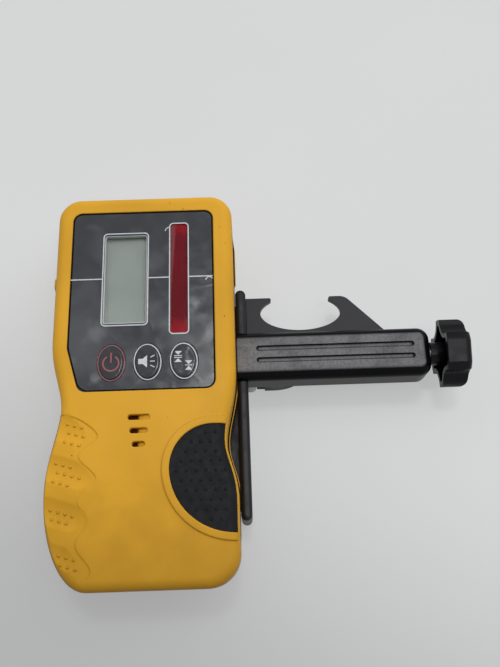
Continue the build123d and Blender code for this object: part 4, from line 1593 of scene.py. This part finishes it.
@dataclass
class FrontPanel:
    """The printed film with the display and the red window behind it."""

    line: float = 0.5
    display_gap: tuple[float, float] = (0.75, 1.1)
    sensor_gap: tuple[float, float] = (0.7, 0.75)
    frame_corner: float = 1.9
    lens_lip: float = 1.6
    window_lip: float = 1.4
    rim: float = 0.65
    cut_x: float = 5.3
    cut_y: float = 18.6
    corner: float = 4.0
    knee: float = 2.0
    lining: float = 0.3
    lining_corner: float = 1.0
    well_wall: float = 0.35
    well_window_gap: float = 0.05
    well_board_gap: float = 0.6
    well_sensor_gap: float = 0.3
    chip_line: float = 0.4
    window_chip: ChippedLine = ChippedLine(0.4, 21.6, 2.1, 285, 225)
    edge_chip: ChippedLine = ChippedLine(-1.9, -1.9, 1.5, 210, 190)

    def build(self) -> None:
        """Dress the panel and add its print, the display's lining and the sensor's well."""
        dress(PANEL_GREY, "panel_overlay")
        dress(DISPLAY_GREY, "lcd_module")
        dress(LENS_CLEAR, "display_lens")
        dress(self.sensor_glass(), "sensor_window")
        self.marks()
        self.edge_band()
        self.display_lining()
        self.sensor_well()

    def sensor_glass(self) -> SensorGlass:
        """Fit the red window's finish to its place and size.

        Returns:
            The finish.
        """
        *_, spot, size = self.openings()
        return SensorGlass(
            "window_red",
            (0.19, 0.007, 0.014),
            0.06,
            cover=0.7,
            shine=0.2,
            centre=(spot.x, spot.y),
            half_size=(size.x / 2, size.y / 2),
        )

    def openings(self) -> tuple[Vector, Vector, Vector, Vector]:
        """Find where the two windows are.

        Returns:
            Middle and size of the display opening, then middle and size of the red window.
        """
        around = Vector((2 * MM, 2 * MM, 0))
        display_size = extent("display_lens") - around * self.lens_lip
        sensor_size = extent("sensor_window") - around * self.window_lip
        return middle("display_lens"), display_size, middle("sensor_window"), sensor_size

    def marks(self) -> None:
        """Print the outlines of the two windows, the grade line and the chipped curls."""
        display, display_size, sensor, sensor_size = self.openings()
        low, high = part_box("panel_overlay")
        sheet = Stencil(Vector((0, display.y, 0)))
        stops = [low.x / MM]
        for spot, size, room in (
            (display, display_size, self.display_gap),
            (sensor, sensor_size, self.sensor_gap),
        ):
            width, height = size.x / MM + 2 * room[0], size.y / MM + 2 * room[1]
            sheet.border(spot.x / MM, width, height, self.frame_corner, self.line)
            stops += (spot.x / MM - width / 2, spot.x / MM + width / 2)
        stops.append(high.x / MM)
        for side, chip in ((stops[3], self.window_chip), (stops[5], self.edge_chip)):
            sheet.arc(side + chip.x, chip.y, chip.radius, self.chip_line, chip.opening, chip.turn)
        for start, end in zip(stops[::2], stops[1::2]):
            sheet.bar((start + end) / 2, 0, end - start, self.line)
        sheet.print_on("panel_overlay", "panel_marks", WHITE_INK)

    def edge_band(self) -> None:
        """Print the dark band along the film's edge: the film's own black edge, and painted shade
        for the gap beside it.
        """
        low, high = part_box("panel_overlay")
        sheet = Stencil(Vector())
        points = (
            (low.x, high.y),
            (low.x, low.y + self.cut_y * MM),
            (low.x + self.cut_x * MM, low.y),
            (high.x, low.y),
            (high.x, high.y),
        )
        verts = [sheet.bm.verts.new((x, y, 0)) for x, y in points]
        sheet.bm.faces.new(verts).normal_update()
        sheet.round_corners(verts[1:2], self.knee)
        sheet.round_corners([verts[0], *verts[2:]], self.corner)
        sheet.bm.faces[-1].normal_update()
        sheet.hollow(sheet.bm.faces[-1], self.rim)
        sheet.print_on("panel_overlay", "panel_edge_shade_band", EDGE_INK_AND_SHADE)

    def display_lining(self) -> None:
        """Line the display's opening with a pale frame."""
        display, size, *_ = self.openings()
        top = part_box("panel_overlay")[1].z - self.lining * MM
        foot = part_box("display_lens")[1].z
        sheet = Stencil(display)
        sheet.border(0, size.x / MM, size.y / MM, self.lining_corner, self.lining)
        bmesh.ops.translate(sheet.bm, verts=sheet.bm.verts, vec=UP * foot)
        thicken(sheet.bm, top - foot)
        lay(sheet.bm, "display_lining", LINING_GREY)

    def sensor_well(self) -> None:
        """Stand a sloping-sided well between the red window and the light sensor."""
        spot, size = middle("sensor_window"), extent("sensor_window")
        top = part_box("sensor_window")[0].z
        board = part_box("main_board")[1].z
        bm = bmesh.new()
        verts = bmesh.ops.create_grid(bm, x_segments=1, y_segments=1, size=1)["verts"]
        grow = Matrix.Diagonal((size.x / 2, size.y / 2, 1, 1))
        place = Matrix.Translation((spot.x, spot.y, top - self.well_window_gap * MM))
        bmesh.ops.transform(bm, matrix=place @ grow, verts=verts)
        floor = bm.faces[:][0]
        bmesh.ops.inset_region(
            bm,
            faces=[floor],
            thickness=(size.x - extent("photodiode_strip").x) / 2 - self.well_sensor_gap * MM,
            depth=board + self.well_board_gap * MM - top,
            use_boundary=True,
            use_even_offset=True,
        )
        bmesh.ops.delete(bm, geom=[floor], context="FACES")
        bmesh.ops.recalc_face_normals(bm, faces=bm.faces)
        bmesh.ops.solidify(bm, geom=bm.faces[:], thickness=self.well_wall * MM)
        lay(bm, "sensor_well", WELL_RED)


class KeyMark(Enum):
    """The three keys: CAD node, body, and how far the ring on each leans in degrees."""

    POWER = ("power_button", "power_key", 1.0)
    SOUND = ("sound_button", "sound_key", 4.0)
    PRECISION = ("precision_button", "precision_key", 5.0)

    @property
    def node(self) -> str:
        """Name of the key's CAD node."""
        return self.value[0]

    @property
    def body(self) -> str:
        """Name of the body that the key rides on."""
        return self.value[1]

    @property
    def lean(self) -> float:
        """How far the key's ring leans to the left, in degrees."""
        return self.value[2]


@dataclass(frozen=True)
class WedgePair:
    """Two wedges that point at each other, the size of the pair, and the lines between them."""

    x: float
    y: float
    width: float
    height: float
    lines: tuple[float, ...]


@dataclass
class Keypad:
    """The three oval keys with their printed rings and marks."""

    ring_w: float = 11.3
    ring_h: float = 15.45
    ring_line: float = 0.4
    power_line: float = 0.64
    power_r: float = 3.2
    power_y: float = -0.4
    power_gap: float = 62.0
    stem_y: float = 1.984
    stem_len: float = 4.32
    horn_w: float = 3.6
    horn_h: float = 5.2
    horn_x: float = -1.9
    horn_neck: float = 0.42
    ray_x: float = 2.1
    ray_len: float = 1.9
    ray_line: float = 0.4125
    ray_spread: float = 2.1
    ray_turn: float = 28.0
    wedge_gap: float = 0.35
    band_line: float = 0.33
    pairs: tuple[WedgePair, ...] = (
        WedgePair(-2.25, 1.6, 3.2, 4.7, (-0.4, 0.4)),
        WedgePair(2.0, -2.15, 2.9, 4.0, (0.0,)),
    )

    def build(self) -> None:
        """Dress the keys and print on them."""
        draw = {
            KeyMark.POWER: self.power_mark,
            KeyMark.SOUND: self.sound_mark,
            KeyMark.PRECISION: self.precision_mark,
        }
        for key in KeyMark:
            dress(KEY_GREY, key.node)
            ink = RED_INK if key is KeyMark.POWER else WHITE_INK
            sheet = Stencil(middle(key.node))
            sheet.oval(self.ring_w, self.ring_h, self.ring_line, key.lean)
            draw[key](sheet)
            sheet.print_on(key.node, f"{key.body}_print", ink, key.body)

    def power_mark(self, sheet: Stencil) -> None:
        """Draw an open ring with a bar in its gap."""
        sheet.arc(0, self.power_y, self.power_r, self.power_line, self.power_gap)
        sheet.bar(0, self.stem_y, self.stem_len, self.power_line, 90)

    def sound_mark(self, sheet: Stencil) -> None:
        """Draw a loudspeaker with three rays.

        Args:
            sheet: The key's print.
        """
        sheet.horn(self.horn_x, self.horn_w, self.horn_h, self.horn_neck)
        for side in (-1, 0, 1):
            y, turn = side * self.ray_spread, side * self.ray_turn
            sheet.bar(self.ray_x, y, self.ray_len, self.ray_line, turn)

    def precision_mark(self, sheet: Stencil) -> None:
        """Draw two pairs of wedges, one with a wide band between them and one with a narrow one.

        Args:
            sheet: The key's print.
        """
        for pair in self.pairs:
            tall = pair.height / 2 - max(pair.lines) - self.wedge_gap
            for side in (-1, 1):
                foot = pair.y + side * (pair.height / 2 - tall / 3)
                sheet.wedge(pair.x, foot, pair.width, tall, 180 if side > 0 else 0)
            for line in pair.lines:
                sheet.bar(pair.x, pair.y + line, pair.width, self.band_line)


@dataclass
class ThumbGrip:
    """The rubber thumb grip with its rows of raised dots."""

    dot: Stud = Stud(1.35, 0.42)
    pitch: float = 3.8
    row_pitch: float = 3.72
    first_x: float = 21.6
    first_y: float = -24.1
    rows: int = 10
    columns: int = 8
    margin: float = 2.3
    margin_step: int = 45

    def build(self) -> None:
        """Dress the grip and add its dots."""
        dress(GRIP_BLACK, "thumb_grip")
        lay(self.dot.set_on(self.dot_places()), "grip_dots", GRIP_BLACK)

    def dot_places(self) -> list[Spot]:
        """Find where the dots stand, clear of the grip's edge.

        Returns:
            Points on the grip with their normals.
        """
        grip = Surface("thumb_grip")
        centre = middle("rear_shell")
        turns = [math.radians(turn) for turn in range(0, 360, self.margin_step)]
        around = [Matrix.Rotation(turn, 2) @ Vector((self.margin * MM, 0)) for turn in turns]
        found = []
        for row in range(self.rows):
            for column in range(-self.columns, self.columns):
                x = centre.x + (self.first_x + (column + row % 2 / 2) * self.pitch) * MM
                y = centre.y + (self.first_y - row * self.row_pitch) * MM
                spot = grip.below(x, y)
                if spot and all(grip.below(x + step.x, y + step.y) for step in around):
                    found.append(spot)
        return found


@dataclass
class PowerBay:
    """What is inside the case: cells, contacts, board and its parts, and the cells' door."""

    cloth_over: float = 2.5
    cloth_t: float = 0.3
    cloth_edge: float = 0.1
    cloth_sides: int = 36

    def build(self) -> None:
        """Dress the nodes and cover the sounder."""
        dress(HOUSING_YELLOW, "battery_door")
        dress(CELL_SLEEVE, "battery_cells")
        dress(NICKEL, "battery_contacts")
        dress(BOARD_GREEN, "main_board")
        dress(COMPONENT_BLACK, "photodiode_strip", "tact_switches")
        dress(SLOT_SHADE_BROWN, "buzzer")
        self.shade_cloth()

    def shade_cloth(self) -> None:
        """Lay a dark brown cloth over the sounder, wide enough to close the slots from below; its
        colour is painted shade for the inside of the slots, tinted by the yellow walls.
        """
        spot, size = middle("buzzer"), extent("buzzer")
        bm = bmesh.new()
        bmesh.ops.create_circle(
            bm,
            cap_ends=True,
            segments=self.cloth_sides,
            radius=size.x / 2 + self.cloth_over * MM,
            matrix=Matrix.Translation((spot.x, spot.y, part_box("buzzer")[1].z)),
        )
        top = set(thicken(bm, self.cloth_t * MM))
        bmesh.ops.bevel(
            bm,
            geom=[edge for edge in bm.edges if top.issuperset(edge.verts)],
            offset=self.cloth_edge * MM,
            affect="EDGES",
            segments=2,
            profile=0.5,
            material=-1,
        )
        lay(bm, "sounder_shade_cloth", SLOT_SHADE_BROWN)


# ---------------------------------------------------------------- clamp


@dataclass
class StaffClamp:
    """The fixed side of the clamp, and the thumb screw that holds the receiver to it."""

    def build(self) -> None:
        """Dress the nodes."""
        dress(BEAM_BLACK, "clamp_beam")
        dress(PLATE_BLACK, "reading_plate")
        dress(CLAMP_BLACK, "side_bracket", "mount_screw")
        dress(BUMPER_CLEAR, "fixed_jaw_bumpers")
        dress(BRASS, "clamp_insert")
        dress(ZINC, "mount_washer")


@dataclass
class ScrewDrive:
    """The moving jaw, its knob and the threaded lead screw between them."""

    pitch: float = 3.0
    root_r: float = 2.75
    pilot_r: float = 2.5
    crest: float = 0.7
    flank: float = 0.75
    steps: int = 24
    clip_room: float = 3.0

    def build(self) -> None:
        """Dress the nodes and cut the thread."""
        dress(CLAMP_BLACK, "moving_jaw")
        dress(KNOB_BLACK, "clamp_knob")
        dress(PAD_GREY, "moving_jaw_pad")
        dress(BRASS, "jaw_nut")
        dress(ZINC, "retaining_clip")
        self.screw()

    def screw(self) -> None:
        """Model the lead screw: pilot, left-hand thread and plain shank."""
        low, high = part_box("lead_screw")
        axis = middle("lead_screw")
        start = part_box("moving_jaw_pad")[0].x
        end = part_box("retaining_clip")[0].x - self.clip_room * MM
        crest_r = (high.z - low.z) / 2
        bm = self.thread(start, end, axis, crest_r)
        lying = Matrix.Rotation(math.pi / 2, 4, "Y")
        for foot, tip, radius in ((low.x, start, self.pilot_r * MM), (end, high.x, crest_r)):
            bmesh.ops.create_cone(
                bm,
                cap_ends=True,
                segments=self.steps,
                radius1=radius,
                radius2=radius,
                depth=tip - foot,
                matrix=Matrix.Translation(((foot + tip) / 2, axis.y, axis.z)) @ lying,
            )
        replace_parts(lay(bm, "lead_screw_thread", ZINC, "knob"), "lead_screw")

    def thread(self, start: float, end: float, axis: Vector, crest_r: float) -> BMesh:
        """Sweep the thread's outline round the axis and trim it square.

        Args:
            start: Where the thread starts along X.
            end: Where it ends.
            axis: A point on the screw's axis.
            crest_r: Outside radius.

        Returns:
            The closed threaded rod.
        """
        bm = bmesh.new()
        pitch, root_r = self.pitch * MM, self.root_r * MM
        turns = math.ceil((end - start) / pitch) + 2
        outline = (
            (0.0, root_r),
            (self.flank * MM, crest_r),
            ((self.flank + self.crest) * MM, crest_r),
            ((2 * self.flank + self.crest) * MM, root_r),
            (pitch, root_r),
        )
        first = end + pitch
        verts = [bm.verts.new((first - along, axis.y, axis.z + r)) for along, r in outline]
        edges = [bm.edges.new(pair) for pair in zip(verts, verts[1:])]
        bmesh.ops.spin(
            bm,
            geom=[*verts, *edges],
            cent=axis,
            axis=(1, 0, 0),
            dvec=(-pitch / self.steps, 0, 0),
            angle=math.tau * turns,
            steps=turns * self.steps,
        )
        bmesh.ops.remove_doubles(bm, verts=bm.verts, dist=1e-6)
        for place, side in ((start, -1), (end, 1)):
            trim(bm, Vector((place, 0, 0)), Vector((side, 0, 0)))
        return bm


# ---------------------------------------------------------------- studio


@dataclass(frozen=True)
class Softbox:
    """A square lamp that looks at the object."""

    name: str
    place: tuple[float, float, float]
    side: float
    power: float

    def hang(self) -> None:
        """Put the lamp in the scene."""
        lamp = bpy.data.lights.new(self.name, "AREA")
        lamp.size = self.side
        lamp.energy = self.power
        holder = show(self.name, lamp)
        holder.location = self.place
        holder.rotation_euler = Vector(self.place).to_track_quat("Z", "Y").to_euler()


@dataclass
class Studio:
    """Table, soft light, and a camera at the photograph's viewing angle."""

    table_side: float = 6.0
    table_steps: int = 8
    camera_place: tuple[float, float, float] = (-0.00795, -0.0809, 0.3256)
    camera_turn: tuple[float, float, float] = (19.11, 0.2, -1.9)
    camera_nearest: float = 0.01
    focal_px: float = 720.0
    frame_px: float = 667.0
    backdrop: float = 0.74
    sky_tint: Colour = (0.97, 0.98, 1.0)
    ambient: float = 0.78
    ambient_y: float = 0.35
    shaded: float = 0.02
    shaded_y: float = -0.55
    lamps: tuple[Softbox, ...] = (
        Softbox("ceiling_lamp", (0.05, 0.5, 2.0), 0.25, 7.0),
        Softbox("ceiling_panel", (0.75, 0.3, 1.75), 1.6, 12.0),
        Softbox("window_lamp", (0.54, -0.42, 1.85), 0.2, 3.0),
    )

    def build(self) -> None:
        """Set the table, the light and the camera."""
        self.table()
        self.sky()
        for lamp in self.lamps:
            lamp.hang()
        self.camera()
        bpy.context.scene.view_settings.view_transform = "Standard"

    def table(self) -> None:
        """Lay the table top."""
        bm = bmesh.new()
        steps = self.table_steps
        bmesh.ops.create_grid(bm, x_segments=steps, y_segments=steps, size=self.table_side / 2)
        table = show("table_top", stored(bm, "table_top"))
        table.data.materials.append(TABLE_WHITE.material())

    def sky(self) -> None:
        """Light everything softly, less from the camera's side, before a plain pale backdrop."""
        world = bpy.data.worlds.new("soft_room")
        world.use_nodes = True
        bpy.context.scene.world = world
        air = Nodes(world.node_tree)
        along = air.part(air.add("TexCoord").outputs["Generated"], 1)
        fade = {1: self.shaded_y, 2: self.ambient_y, 3: self.shaded, 4: self.ambient}
        level = air.add("MapRange", {0: along, **fade}).outputs[0]
        shown = air.add("Mix", {0: air.seen(), 2: level, 3: self.backdrop}).outputs[0]
        fill = air.tree.nodes["Background"].inputs
        air.feed(fill["Color"], self.sky_tint)
        air.feed(fill["Strength"], shown)

    def camera(self) -> None:
        """Stand the camera where the photograph was taken."""
        lens = bpy.data.cameras.new("camera")
        lens.lens = lens.sensor_width * self.focal_px / self.frame_px
        lens.clip_start = self.camera_nearest
        camera = show("camera", lens)
        camera.location = self.camera_place
        camera.rotation_euler = [math.radians(turn) for turn in self.camera_turn]
        bpy.context.scene.camera = camera


def main() -> None:
    """Build each sub-assembly in order."""
    logging.basicConfig(level=logging.INFO, format="%(message)s")
    for assembly in (
        Housing(),
        FrontPanel(),
        Keypad(),
        ThumbGrip(),
        PowerBay(),
        StaffClamp(),
        ScrewDrive(),
        Studio(),
    ):
        log.info("-- %s", type(assembly).__name__)
        assembly.build()


if __name__ == "__main__":
    main()
